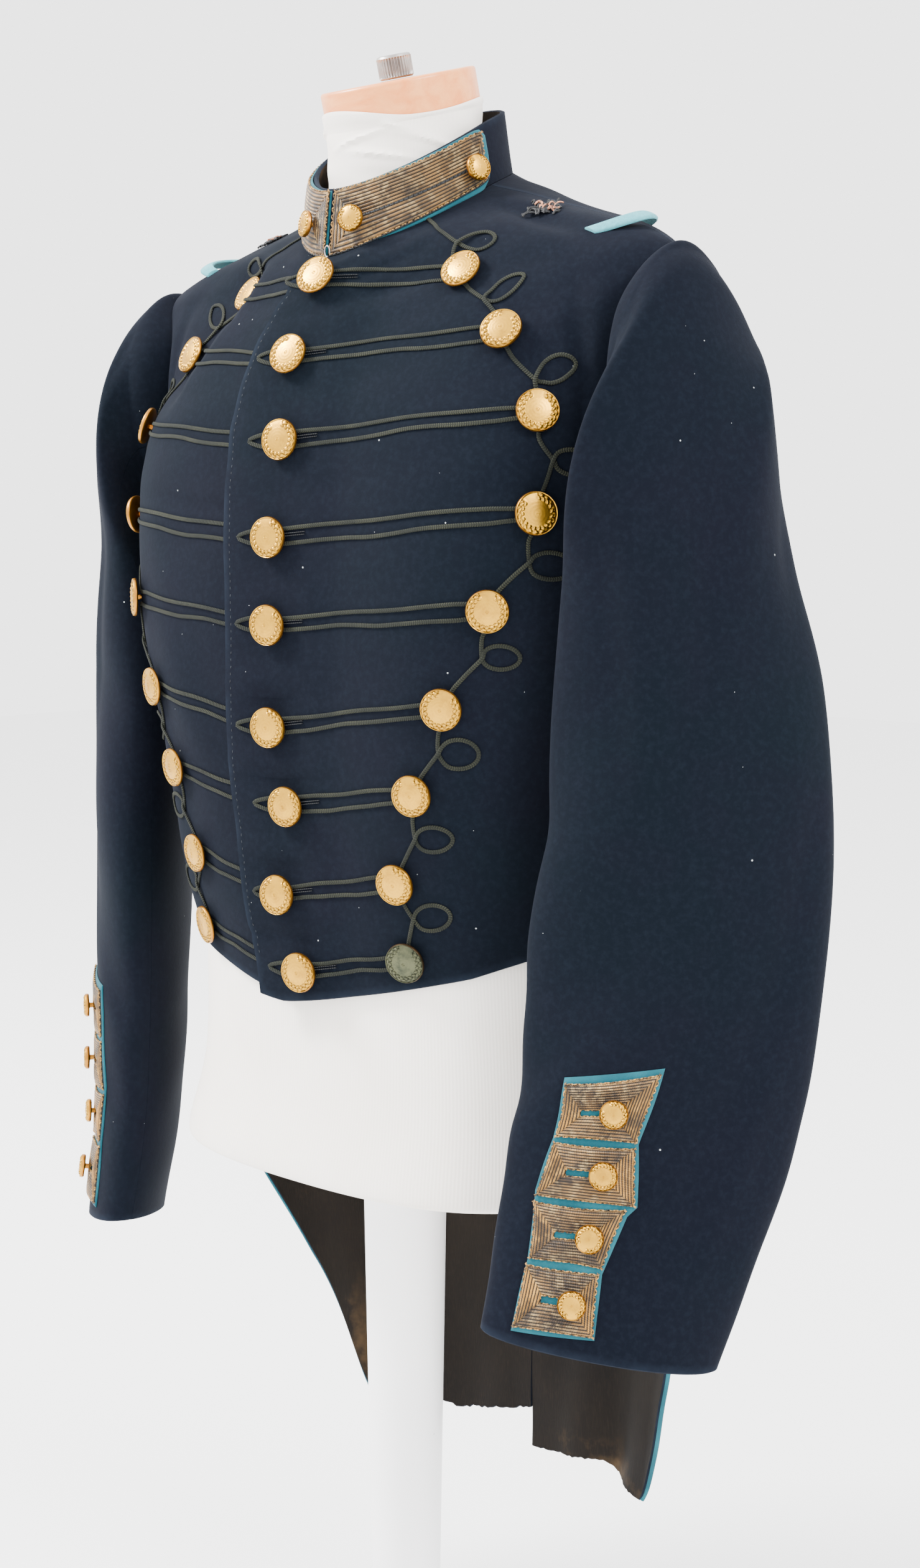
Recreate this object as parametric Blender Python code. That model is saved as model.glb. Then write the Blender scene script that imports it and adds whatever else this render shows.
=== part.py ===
"""A braided wool tailcoat on a limbless dress form with a post and a round base.

Metres, +Z up. The origin is the centre of the base's underside, below the post.
The coat faces -Y, and the wearer's left is +X. The coat is buttoned: its left front laps
over its right front. Each panel is a thin wall, and each piece is a closed solid.
"""

import math

import bmesh
import bpy
import numpy as np

# Cloth walls and clearances
WALL = 0.0020
COLLAR_WALL = 0.0028
PATCH_WALL = 0.0012
SEAM_GAP = 0.0004
REST_GAP = 0.0004
FORM_CLEARANCE = 0.0036

# Coat body: one row for each level, from the tails' ends up to the neck.
# f, w and b are the depth in front, the half width and the depth behind.
# xq, yq and xr, yr are the front and rear quarter points. z is given for each of the five.
BODY_COLUMNS = ("f", "zf", "xq", "yq", "zq", "w", "ys", "zs", "xr", "yr", "zr", "b", "zb")
BODY_TABLE = (
    (0.080, 0.139, 0.120, 0.050, 0.139, 0.152, 0.040, 0.139, 0.104, 0.086, 0.139, 0.118, 0.139),
    (0.085, 0.250, 0.120, 0.055, 0.250, 0.163, 0.028, 0.250, 0.112, 0.092, 0.250, 0.119, 0.250),
    (0.100, 0.360, 0.125, 0.068, 0.360, 0.177, 0.012, 0.360, 0.114, 0.102, 0.360, 0.121, 0.360),
    (0.0900, 0.470, 0.115, 0.0610, 0.470, 0.163, 0.008, 0.470, 0.104, 0.096, 0.470, 0.115, 0.470),
    (0.0915, 0.530, 0.117, 0.0700, 0.530, 0.157, 0.008, 0.530, 0.100, 0.091, 0.530, 0.108, 0.530),
    (0.0945, 0.600, 0.120, 0.0810, 0.600, 0.165, 0.006, 0.600, 0.106, 0.093, 0.600, 0.109, 0.600),
    (0.0985, 0.680, 0.142, 0.0765, 0.680, 0.178, 0.004, 0.680, 0.113, 0.098, 0.680, 0.113, 0.680),
    (0.0960, 0.745, 0.156, 0.0665, 0.745, 0.182, 0.000, 0.745, 0.116, 0.102, 0.745, 0.117, 0.745),
    (0.0905, 0.790, 0.155, 0.0600, 0.796, 0.190, -0.004, 0.800, 0.115, 0.101, 0.797, 0.117, 0.797),
    (0.0800, 0.832, 0.133, 0.0530, 0.842, 0.197, -0.006, 0.849, 0.112, 0.093, 0.847, 0.112, 0.847),
    (0.0680, 0.862, 0.096, 0.0410, 0.879, 0.195, -0.001, 0.885, 0.098, 0.076, 0.892, 0.098, 0.895),
    (0.0625, 0.876, 0.068, 0.0370, 0.896, 0.118, 0.011, 0.912, 0.070, 0.062, 0.922, 0.080, 0.925),
    (0.0580, 0.886, 0.043, 0.0360, 0.902, 0.060, 0.008, 0.927, 0.041, 0.049, 0.941, 0.0615, 0.944),
)
HEM_ROW = 3
ARMPIT_ROW = 7
NECK_ROW = 12

# Armhole, an ellipse in panel coordinates, and the side seam
ARMHOLE_T = 2.06
ARMHOLE_HALF_T = 0.46
ARMHOLE_ROW = 8.45
ARMHOLE_HALF_ROW = 1.45
ARMHOLE_SHRINK_T = 0.013
ARMHOLE_SHRINK_ROW = 0.035
ARMHOLE_STEPS = 8
SIDE_SEAM_SWEEP = 0.19
FRONT_HEM_RISE = 0.86
FRONT_HEM_POWER = 1.3
FRONT_COLUMNS = (0.0, 0.06, 0.14, 0.22, 0.30, 0.38, 0.48, 0.60, 0.73, 0.86, 1.0)
BACK_COLUMN_COUNT = 7

# Front edges: how far each front reaches past the centre, and how the left one stands proud
LEFT_EDGE_COLUMNS = ("row", "x")
LEFT_EDGE_TABLE = (
    (3.0, -0.016),
    (4.0, -0.027),
    (5.0, -0.033),
    (6.0, -0.030),
    (7.0, -0.033),
    (8.0, -0.034),
    (9.0, -0.026),
    (10.0, -0.014),
    (12.0, -0.006),
)
RIGHT_EDGE_X = 0.018
LAP_LIFT = 0.0026
LAP_FULL_X = 0.022
LAP_END_X = 0.052
ROLL_LIFT = 0.0100
ROLL_START = 0.048
ROLL_END = -0.030
ROLL_FADE_ROWS = 1.5

# Tails: panel coordinate of the front edge at the first four body rows
TAIL_EDGE_T = (3.00, 2.44, 1.99, 2.10)
TAIL_LOW_ROW = {1: 0.0, -1: 0.24}
TAIL_SWING = {1: 0.016, -1: 0.0}
PLEAT_T = 3.35
PLEAT_HALF_T = 0.16
PLEAT_DEPTH = 0.007

# Sleeve: one row for each station, from the shoulder to the cuff. Left and right differ in
# y and z. a is the half thickness, c the half width of the flat; tip is the ring plane's tilt
# and turn how far the flat faces forward, both in degrees; droop lifts the front end.
SLEEVE_COLUMNS = ("x", "yl", "yr", "zl", "zr", "tip", "a", "c", "turn", "droop")
SLEEVE_TABLE = (
    (0.1985, 0.0020, 0.0020, 0.8130, 0.8130, 8.0, 0.0720, 0.0490, 4, 0.000),
    (0.2055, -0.0010, -0.0010, 0.8025, 0.8025, 13.9, 0.0715, 0.0560, 8, 0.000),
    (0.2092, -0.0070, -0.0070, 0.7805, 0.7805, 20.6, 0.0620, 0.0615, 14, 0.000),
    (0.2125, -0.0100, -0.0100, 0.7460, 0.7460, 32.0, 0.0478, 0.0650, 22, 0.000),
    (0.2150, -0.0090, -0.0090, 0.7090, 0.7090, 56.0, 0.0345, 0.0660, 30, 0.000),
    (0.2200, -0.0100, -0.0100, 0.6550, 0.6550, 90.0, 0.0335, 0.0720, 38, 0.000),
    (0.2230, -0.0130, -0.0130, 0.5950, 0.5950, 90.0, 0.0320, 0.0765, 42, 0.000),
    (0.2225, -0.0180, -0.0180, 0.5250, 0.5200, 90.0, 0.0305, 0.0785, 45, 0.000),
    (0.2215, -0.0270, -0.0220, 0.4600, 0.4500, 90.0, 0.0290, 0.0770, 46, 0.000),
    (0.2203, -0.0355, -0.0248, 0.4225, 0.4090, 90.0, 0.0283, 0.0755, 46, 0.003),
    (0.2190, -0.0470, -0.0285, 0.3860, 0.3690, 90.0, 0.0270, 0.0712, 46, 0.006),
    (0.2175, -0.0610, -0.0350, 0.3500, 0.3290, 90.0, 0.0255, 0.0660, 46, 0.009),
    (0.2170, -0.0745, -0.0440, 0.3160, 0.2890, 90.0, 0.0240, 0.0615, 46, 0.011),
)
SLEEVE_COLUMN_DEG = 22.5
SLEEVE_SEAM_DEG = 112.5
SLEEVE_SEAM_GAP_DEG = 0.25
SLEEVE_ROWS_ABOVE_PATCH = 13

# Largest sleeve folds: station, degrees round from the outer face, half length in stations,
# half width in degrees, height (below zero is a trough), and how far it slants per station
FOLD_COLUMNS = ("station", "at", "long", "wide", "height", "slant")
SLEEVE_FOLDS = (
    (3.3, -62, 1.3, 24, -0.0060, 10),
    (2.6, -30, 1.2, 20, 0.0035, 14),
    (5.6, 70, 0.8, 30, -0.0040, 30),
    (6.8, 60, 0.9, 30, 0.0030, 30),
    (8.2, 74, 0.7, 26, -0.0040, 26),
)

# Collar: the five points of its top edge, like a row of the body table
COLLAR_TOP = (0.0535, 0.925, 0.0385, 0.0340, 0.937, 0.0550, 0.008, 0.961, 0.0385, 0.044, 0.975, 0.0565, 0.979)
COLLAR_FRONT_GAP_T = 0.020
COLLAR_LACE_END_T = 2.02
COLLAR_BUTTONS = (("front", 0.36, 0.45), ("rear", 1.76, 0.38))

# Buttons: one row for each line of braid, from the neck down.
BUTTON_COLUMNS = ("z", "centre_x", "outer_z", "outer_x")
BUTTON_TABLE = (
    (0.874, 0.007, 0.873, 0.092),
    (0.831, 0.003, 0.839, 0.130),
    (0.785, 0.007, 0.797, 0.156),
    (0.732, 0.004, 0.745, 0.158),
    (0.684, 0.003, 0.695, 0.141),
    (0.627, 0.001, 0.643, 0.117),
    (0.583, 0.010, 0.596, 0.099),
    (0.532, 0.002, 0.546, 0.083),
    (0.489, 0.015, 0.502, 0.083),
)
BUTTON_RADIUS = 0.0115
SMALL_BUTTON_RADIUS = 0.0075
BUTTON_RISE = 0.0036
BUTTON_EDGE = 0.0008
SHANK_RADIUS = 0.0016
SHANK_HEIGHT = 0.0024
OUTER_BUTTON_SINK = 0.0003
BUTTON_SIDES = 10
SMALL_BUTTON_SIDES = 8

# Braid
BRAID_WIDTH = 0.0026
BRAID_HEIGHT = 0.0012
BRAID_CLEARANCE = 0.0009
BRAID_HALF_SPACING = 0.0037
BRAID_EYE = 0.024
BRAID_EDGE_MARGIN = 0.0045
RIGHT_BRAID_END_X = 0.0400
BRAID_STEP = 0.0132
LOOP_REACH = 0.019
LOOP_HALF_HEIGHT = 0.0058
LOOP_LIFT = 0.0019

# Shoulder loop
LOOP_STRAP_ROW = 10.36
LOOP_STRAP_FROM_T = 1.58
LOOP_STRAP_TO_T = 2.52
LOOP_STRAP_HALF_WIDTH = 0.0055
LOOP_STRAP_WALL = 0.0024
LOOP_STRAP_FOOT = -0.0012
LOOP_STRAP_ARCH = 0.0056

# Cuff patch: stations along the sleeve and degrees round it
CUFF_PATCH_FROM = 8.05
CUFF_PATCH_TO = 11.72
CUFF_PATCH_EDGE_TOP_DEG = 46.0
CUFF_PATCH_EDGE_LOW_DEG = 53.0
CUFF_PATCH_COLUMN_DEG = (45.0, 34.0, 22.5, 14.0, 6.0)
CUFF_BUTTON_DEG = 20.0
CUFF_PLATES = 4
CUFF_PATCH_GAP = 0.0006
LACE_RISE = 0.0013

# Dress form, cap, knob and stand
FORM_BOTTOM_Z = 0.364
FORM_HIP_ROWS = (
    (0.093, 0.364, 0.120, 0.066, 0.364, 0.164, 0.002, 0.364, 0.112, 0.092, 0.364, 0.106, 0.364),
    (0.096, 0.372, 0.122, 0.067, 0.372, 0.168, 0.002, 0.372, 0.115, 0.095, 0.372, 0.110, 0.372),
    (0.086, 0.420, 0.115, 0.058, 0.420, 0.160, 0.003, 0.420, 0.109, 0.093, 0.420, 0.109, 0.420),
)
NECK_RADIUS = 0.0455
NECK_TILT_DEG = 15.0
NECK_TOP_Y = 0.002
NECK_FOOT_Z = 0.934
NECK_TOP_Z = 0.970
CAP_RADIUS = 0.0450
CAP_HEIGHT = 0.022
KNOB_RADIUS = 0.0100
KNOB_HEIGHT = 0.0140
POST_TOP_RADIUS = 0.0255
POST_FOOT_RADIUS = 0.0200
BASE_RADIUS = 0.160
BASE_HEIGHT = 0.018
BASE_BEVEL = 0.005

# Finishes: colour, roughness, metallic
NAVY = ("wool broadcloth", (0.020, 0.030, 0.052), 0.90, 0.0)
TEAL = ("teal wool facing", (0.055, 0.280, 0.300), 0.85, 0.0)
LACE = ("tarnished gold lace", (0.360, 0.210, 0.070), 0.50, 0.7)
BRAID = ("olive worsted braid", (0.045, 0.050, 0.022), 0.85, 0.0)
GILT = ("gilt brass", (0.750, 0.410, 0.120), 0.30, 1.0)
JERSEY = ("cream jersey", (0.820, 0.790, 0.730), 0.90, 0.0)
WOOD = ("varnished pale wood", (0.900, 0.560, 0.320), 0.45, 0.0)
STEEL = ("plated steel", (0.550, 0.550, 0.550), 0.30, 1.0)
PAINT = ("white painted steel", (0.850, 0.850, 0.840), 0.40, 0.0)


def clear_scene():
    for old in list(bpy.data.objects):
        bpy.data.objects.remove(old, do_unlink=True)


def finish(finish_row):
    name, colour, roughness, metallic = finish_row
    material = bpy.data.materials.get(name)
    if material:
        return material
    material = bpy.data.materials.new(name)
    material.use_nodes = True
    shader = material.node_tree.nodes["Principled BSDF"]
    shader.inputs["Base Color"].default_value = (*colour, 1.0)
    shader.inputs["Roughness"].default_value = roughness
    shader.inputs["Metallic"].default_value = metallic
    return material


def smooth_step(x):
    x = min(max(x, 0.0), 1.0)
    return x * x * (3.0 - 2.0 * x)


def unit(vector):
    return vector / np.linalg.norm(vector)


def row_at(table, place):
    """A table's row between its rows, by a smooth curve through them."""
    last = len(table) - 1
    place = min(max(place, 0.0), float(last))
    low = min(int(place), last - 1)
    u = place - low
    rows = [np.array(table[min(max(low + k, 0), last)]) for k in (-1, 0, 1, 2)]
    slope_low = (rows[2] - rows[0]) / 2.0
    slope_high = (rows[3] - rows[1]) / 2.0
    return ((2 * u**3 - 3 * u**2 + 1) * rows[1] + (u**3 - 2 * u**2 + u) * slope_low
            + (-2 * u**3 + 3 * u**2) * rows[2] + (u**3 - u**2) * slope_high)


def ring_point(row, t):
    """A point of the closed ring through a row's five points and their mirror images.
    t is 0 in front, 2 at the left side, 4 behind, and below 0 on the right."""
    f, zf, xq, yq, zq, w, ys, zs, xr, yr, zr, b, zb = row
    half = [(0.0, -f, zf), (xq, -yq, zq), (w, ys, zs), (xr, yr, zr), (0.0, b, zb)]
    side = -1.0 if t < 0 else 1.0
    t = min(abs(t), 4.0)
    mirrored = [(-x, y, z) for x, y, z in half]
    points = np.array([mirrored[1]] + half + [mirrored[3]])
    low = min(int(t), 3)
    u = t - low
    p0, p1, p2, p3 = points[low:low + 4]
    before, span, after = (np.linalg.norm(q - p) for p, q in ((p0, p1), (p1, p2), (p2, p3)))
    slope_low = ((p2 - p1) * before / span + (p1 - p0) * span / before) / (before + span)
    slope_high = ((p3 - p2) * span / after + (p2 - p1) * after / span) / (span + after)
    point = ((2 * u**3 - 3 * u**2 + 1) * p1 + (u**3 - 2 * u**2 + u) * slope_low * span
             + (-2 * u**3 + 3 * u**2) * p2 + (u**3 - u**2) * slope_high * span)
    return point * np.array([side, 1.0, 1.0])


def body_point(t, row):
    return ring_point(row_at(BODY_TABLE, row), t)


def lap_lift(x, row):
    """How far the left front stands off the right one at a distance x from the centre."""
    lap = LAP_LIFT * smooth_step((LAP_END_X - x) / (LAP_END_X - LAP_FULL_X))
    roll = ROLL_LIFT * smooth_step((ROLL_START - x) / (ROLL_START - ROLL_END))
    return lap + roll * smooth_step((NECK_ROW - row) / ROLL_FADE_ROWS)


def tail_shape(point, t, row):
    """Swings and pleats the tails below the hem."""
    side = 1 if t > 0 else -1
    low = smooth_step((HEM_ROW - row) / HEM_ROW)
    off_centre = smooth_step((4.0 - abs(t)) / 1.2)
    pleat = math.exp(-((abs(t) - PLEAT_T) / PLEAT_HALF_T) ** 2)
    shift = low * (TAIL_SWING[side] * off_centre + PLEAT_DEPTH * pleat)
    return point + np.array([0.0, shift, 0.0])


def left_front_point(t, row):
    point = body_point(t, row)
    return point + surface_normal(body_point, t, row) * lap_lift(point[0], row)


def back_point(t, row):
    return tail_shape(body_point(t, row), t, row)


def surface_normal(surface, a, b):
    step = 0.004
    across = surface(a + step, b) - surface(a - step, b)
    along = surface(a, min(b + step, NECK_ROW)) - surface(a, min(b + step, NECK_ROW) - 2 * step)
    return unit(np.cross(across, along))


def coat_normal(surface, t, row):
    """The outward normal, with t and row kept off the ends of the table."""
    return surface_normal(surface, t, min(max(row, 0.01), NECK_ROW - 0.01))


def add_mesh(name, points, faces, finish_row, smooth=True):
    mesh = bpy.data.meshes.new(name)
    mesh.from_pydata([tuple(p) for p in points], [], faces)
    tidy = bmesh.new()
    tidy.from_mesh(mesh)
    bmesh.ops.triangulate(tidy, faces=tidy.faces[:])
    bmesh.ops.recalc_face_normals(tidy, faces=tidy.faces[:])
    tidy.to_mesh(mesh)
    tidy.free()
    if smooth:
        mesh.shade_smooth()
        mesh.set_sharp_from_angle(angle=math.radians(40))
    mesh.materials.append(finish(finish_row))
    made = bpy.data.objects.new(name, mesh)
    bpy.context.scene.collection.objects.link(made)
    return made


def sheet_solid(name, outer, inner, finish_row):
    """A closed wall between two grids of points with the same rows and columns."""
    rows, cols = len(outer), len(outer[0])
    points = [p for line in outer for p in line] + [p for line in inner for p in line]
    half = rows * cols
    faces = []
    for r in range(rows - 1):
        for c in range(cols - 1):
            a = r * cols + c
            faces.append((a, a + 1, a + cols + 1, a + cols))
            faces.append((half + a, half + a + cols, half + a + cols + 1, half + a + 1))
    rim = [c for c in range(cols)]
    rim += [r * cols + cols - 1 for r in range(1, rows)]
    rim += [(rows - 1) * cols + c for c in range(cols - 2, -1, -1)]
    rim += [r * cols for r in range(rows - 2, 0, -1)]
    for a, b in zip(rim, rim[1:] + rim[:1]):
        faces.append((a, half + a, half + b, b))
    return add_mesh(name, points, faces, finish_row)


def ring_solid(name, rings, finish_row):
    """A closed solid through rings of points, capped at both ends."""
    count = len(rings[0])
    points = [p for ring in rings for p in ring]
    faces = []
    for r in range(len(rings) - 1):
        for c in range(count):
            d = (c + 1) % count
            faces.append((r * count + c, r * count + d, (r + 1) * count + d, (r + 1) * count + c))
    faces.append(tuple(range(count)))
    faces.append(tuple(range((len(rings) - 1) * count, len(rings) * count)))
    return add_mesh(name, points, faces, finish_row)


def armhole_rows():
    """Rows through the armhole, closest together at its two ends."""
    steps = ARMHOLE_STEPS
    return [ARMHOLE_ROW - ARMHOLE_HALF_ROW * math.cos(math.pi * k / steps) for k in range(steps + 1)]


def seam_t(row):
    """The side seam, armhole edge and shoulder seam seen from the front, as t for each row."""
    if row < ARMPIT_ROW:
        return ARMHOLE_T + SIDE_SEAM_SWEEP * smooth_step((ARMPIT_ROW - row) / (ARMPIT_ROW - HEM_ROW))
    return ARMHOLE_T


def armhole_half_t(row):
    inside = 1.0 - ((row - ARMHOLE_ROW) / ARMHOLE_HALF_ROW) ** 2
    return ARMHOLE_HALF_T * math.sqrt(max(inside, 0.0))


def t_gap(row):
    """Half a seam gap, as a change of t."""
    here = np.linalg.norm(body_point(2.1, row) - body_point(2.0, row)) / 0.1
    return SEAM_GAP / 2.0 / here


def panel_rows():
    low = [HEM_ROW + (ARMPIT_ROW - HEM_ROW) * k / 9 for k in range(9)]
    return low + armhole_rows() + [10.6, 11.3, 12.0]


def front_row_shifted(row, t):
    """Raises the lower rows of a front so that its hem slants up towards the side."""
    if row >= ARMPIT_ROW:
        return row
    rise = FRONT_HEM_RISE * (abs(t) / 2.0) ** FRONT_HEM_POWER
    left = (ARMPIT_ROW - row) / (ARMPIT_ROW - HEM_ROW)
    return row + rise * left


def t_at_x(x, row):
    """The t near the centre front where the body is x from the middle."""
    low, high = -1.0, 1.0
    for _ in range(30):
        middle = (low + high) / 2.0
        if body_point(middle, row)[0] < x:
            low = middle
        else:
            high = middle
    return (low + high) / 2.0


def wall_grids(surface, grid):
    outer, inner = [], []
    for line in grid:
        outer.append([surface(t, row) for t, row in line])
        normals = [coat_normal(surface, t, row) for t, row in line]
        inner.append([p - n * WALL for p, n in zip(outer[-1], normals)])
    return outer, inner


def left_edge_x(row):
    rows, edge = zip(*LEFT_EDGE_TABLE)
    return float(np.interp(row, rows, edge))


def front_columns(side, row):
    """A front's columns at a row, from its centre edge to its side, as t seen from its own side."""
    start = t_at_x(left_edge_x(row) if side > 0 else -RIGHT_EDGE_X, row)
    end = seam_t(row) - armhole_half_t(row) - t_gap(row)
    return [start + (end - start) * c for c in FRONT_COLUMNS]


def back_columns(row):
    start = back_edge_t(row) + t_gap(row)
    end = 4.0 - t_gap(row)
    return [start + (end - start) * k / (BACK_COLUMN_COUNT - 1) for k in range(BACK_COLUMN_COUNT)]


def add_front(side):
    grid = []
    for row in panel_rows():
        grid.append([(side * t, front_row_shifted(row, t)) for t in front_columns(side, row)])
    outer, inner = wall_grids(front_surface(side), grid)
    return sheet_solid("front_left" if side > 0 else "front_right", outer, inner, NAVY)


def back_edge_t(row):
    """The front edge of a back panel: tail edge, side seam, armhole, shoulder seam."""
    if row >= HEM_ROW:
        return seam_t(row) + armhole_half_t(row)
    low = min(int(row), HEM_ROW - 1)
    u = row - low
    values = TAIL_EDGE_T
    return values[low] * (1 - u) + values[low + 1] * u


def add_back(side):
    lowest = TAIL_LOW_ROW[side]
    tail = [lowest + (HEM_ROW - lowest) * k / 7 for k in range(7)]
    grid = []
    for row in tail + panel_rows():
        seam = front_row_shifted(row, seam_t(row)) if row >= HEM_ROW else row
        line = []
        for k, t in enumerate(back_columns(row)):
            blend = smooth_step(k / 3.0)
            line.append((side * t, seam * (1 - blend) + row * blend))
        grid.append(line)
    outer, inner = wall_grids(back_point, grid)
    return sheet_solid("back_left" if side > 0 else "back_right", outer, inner, NAVY)


def armhole_point(side, degrees):
    """The armhole's edge, at an angle from its top towards the front, just inside the cut."""
    angle = math.radians(degrees)
    t = ARMHOLE_T - (ARMHOLE_HALF_T - ARMHOLE_SHRINK_T) * math.sin(angle)
    row = ARMHOLE_ROW + (ARMHOLE_HALF_ROW - ARMHOLE_SHRINK_ROW) * math.cos(angle)
    point = body_point(t, row)
    return point * np.array([side, 1.0, 1.0])


def sleeve_ring_point(side, station, degrees):
    x, y_left, y_right, z_left, z_right, tip, a, c, turn, droop = row_at(SLEEVE_TABLE, station)
    y, z = (y_left, z_left) if side > 0 else (y_right, z_right)
    angle = math.radians(degrees)
    tip, turn = math.radians(min(tip, 90.0)), math.radians(turn)
    face = np.array([math.cos(turn) * math.sin(tip), -math.sin(turn) * math.sin(tip), math.cos(tip)])
    front = np.array([-math.sin(turn), -math.cos(turn), 0.0])
    point = np.array([x, y, z]) + face * a * math.cos(angle) + front * c * math.sin(angle)
    point[2] += droop * math.sin(angle)
    return point * np.array([side, 1.0, 1.0])


def fold_height(station, degrees):
    total = 0.0
    for fold in SLEEVE_FOLDS:
        values = dict(zip(FOLD_COLUMNS, fold))
        along = (station - values["station"]) / values["long"]
        middle = values["at"] + values["slant"] * (station - values["station"])
        around = (degrees - middle + 180.0) % 360.0 - 180.0
        total += values["height"] * math.exp(-along**2 - (around / values["wide"]) ** 2)
    return total


def sleeve_point(side, station, degrees):
    """The sleeve's outer face. Station -1 is the armhole's edge, 0 the table's first ring."""
    if station < 0:
        u = station + 1.0
        start = armhole_point(side, degrees)
        return start * (1 - u) + sleeve_ring_point(side, 0.0, degrees) * u
    point = sleeve_ring_point(side, station, degrees)
    centre = (sleeve_ring_point(side, station, 0.0) + sleeve_ring_point(side, station, 180.0)) / 2.0
    return point + unit(point - centre) * fold_height(station, degrees)


def sleeve_normal(side, station, degrees):
    step = 0.02
    low, high = max(station - step, -1.0), min(station + step, len(SLEEVE_TABLE) - 1.0)
    along = sleeve_point(side, high, degrees) - sleeve_point(side, low, degrees)
    around = sleeve_point(side, station, degrees + 1.0) - sleeve_point(side, station, degrees - 1.0)
    return unit(np.cross(around, along)) * side


def sleeve_stations():
    """The sleeve's rows: the armhole, an even run, one for each edge of a plate, the cuff."""
    above = [CUFF_PATCH_FROM * k / SLEEVE_ROWS_ABOVE_PATCH for k in range(SLEEVE_ROWS_ABOVE_PATCH)]
    plate = (CUFF_PATCH_TO - CUFF_PATCH_FROM) / CUFF_PLATES
    beside = [CUFF_PATCH_FROM + plate * k for k in range(CUFF_PLATES + 1)]
    return [-1.0, -0.5] + above + beside + [len(SLEEVE_TABLE) - 1.0]


def sleeve_facet_point(side, station, degrees):
    """A point on the flat facets of the sleeve's outer face, between its own rows and columns."""
    stations = sleeve_stations()
    high = next(k for k, s in enumerate(stations) if s >= station and k > 0)
    v = (station - stations[high - 1]) / (stations[high] - stations[high - 1])
    column = math.floor(degrees / SLEEVE_COLUMN_DEG) * SLEEVE_COLUMN_DEG
    u = (degrees - column) / SLEEVE_COLUMN_DEG
    corner = [[sleeve_point(side, s, d) for d in (column, column + SLEEVE_COLUMN_DEG)]
              for s in stations[high - 1:high + 1]]
    upper = corner[0][0] * (1 - u) + corner[0][1] * u
    lower = corner[1][0] * (1 - u) + corner[1][1] * u
    return upper * (1 - v) + lower * v


def add_sleeve(side, top):
    first = -SLEEVE_SEAM_DEG if top else SLEEVE_SEAM_DEG
    last = SLEEVE_SEAM_DEG if top else 360.0 - SLEEVE_SEAM_DEG
    count = int(round((last - first) / SLEEVE_COLUMN_DEG)) + 1
    degrees = [first + SLEEVE_COLUMN_DEG * k for k in range(count)]
    degrees[0] += SLEEVE_SEAM_GAP_DEG
    degrees[-1] -= SLEEVE_SEAM_GAP_DEG
    outer, inner = [], []
    for station in sleeve_stations():
        outer.append([sleeve_point(side, station, d) for d in degrees])
        normals = [sleeve_normal(side, max(station, -0.8), d) for d in degrees]
        inner.append([p - n * WALL for p, n in zip(outer[-1], normals)])
    name = f"sleeve_{'left' if side > 0 else 'right'}_{'top' if top else 'under'}"
    return sheet_solid(name, outer, inner, NAVY)


def collar_point(t, height):
    """The collar's outer face: height 0 is its seam on the neck edge, 1 its top edge."""
    foot = body_point(t, NECK_ROW) + np.array([0.0, 0.0, SEAM_GAP])
    return foot * (1 - height) + ring_point(COLLAR_TOP, t) * height


def collar_normal(t, height):
    step = 0.01
    across = collar_point(t + step, height) - collar_point(t - step, height)
    along = collar_point(t, 1.0) - collar_point(t, 0.0)
    return unit(np.cross(across, along))


def add_collar():
    halves = []
    for side in (1, -1):
        columns = front_columns(side, NECK_ROW) + back_columns(NECK_ROW)
        half = [COLLAR_FRONT_GAP_T] + [t for t in columns if t > 3 * COLLAR_FRONT_GAP_T]
        halves.append([side * t for t in half])
    ts = halves[0] + halves[1][::-1]
    outer, inner = [], []
    for height in (0.0, 0.33, 0.67, 1.0):
        outer.append([collar_point(t, height) for t in ts])
        inner.append([collar_point(t, height) - collar_normal(t, height) * COLLAR_WALL for t in ts])
    return sheet_solid("collar", outer, inner, NAVY)


def add_collar_lace(side):
    """A patch on the collar with a raised frame of lace, open along its middle."""
    heights = (0.08, 0.14, 0.44, 0.50, 0.56, 0.90, 0.97)
    raised = (0, 1, 1, 0, 1, 1, 0)
    count = 11
    outer, inner = [], []
    for height, up in zip(heights, raised):
        ts = [side * (0.05 + (COLLAR_LACE_END_T - 0.05) * k / (count - 1)) for k in range(count)]
        lift = [PATCH_WALL + (LACE_RISE if up and 0 < k < count - 1 else 0.0) for k in range(count)]
        if heights[0] < height < heights[-1]:
            lift[1] = lift[-2] = PATCH_WALL + LACE_RISE
        base = [collar_point(t, height) for t in ts]
        normals = [collar_normal(t, height) for t in ts]
        inner.append([p + n * REST_GAP for p, n in zip(base, normals)])
        outer.append([p + n * (REST_GAP + h) for p, n, h in zip(base, normals, lift)])
    return sheet_solid("collar_lace_left" if side > 0 else "collar_lace_right", outer, inner, LACE)


def cuff_patch_edge(along):
    """The patch's edge near the front seam, in degrees, from its top to its end."""
    return CUFF_PATCH_EDGE_TOP_DEG + (CUFF_PATCH_EDGE_LOW_DEG - CUFF_PATCH_EDGE_TOP_DEG) * min(2 * along, 1.0)


def cuff_station(along):
    return CUFF_PATCH_FROM + (CUFF_PATCH_TO - CUFF_PATCH_FROM) * along


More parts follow.
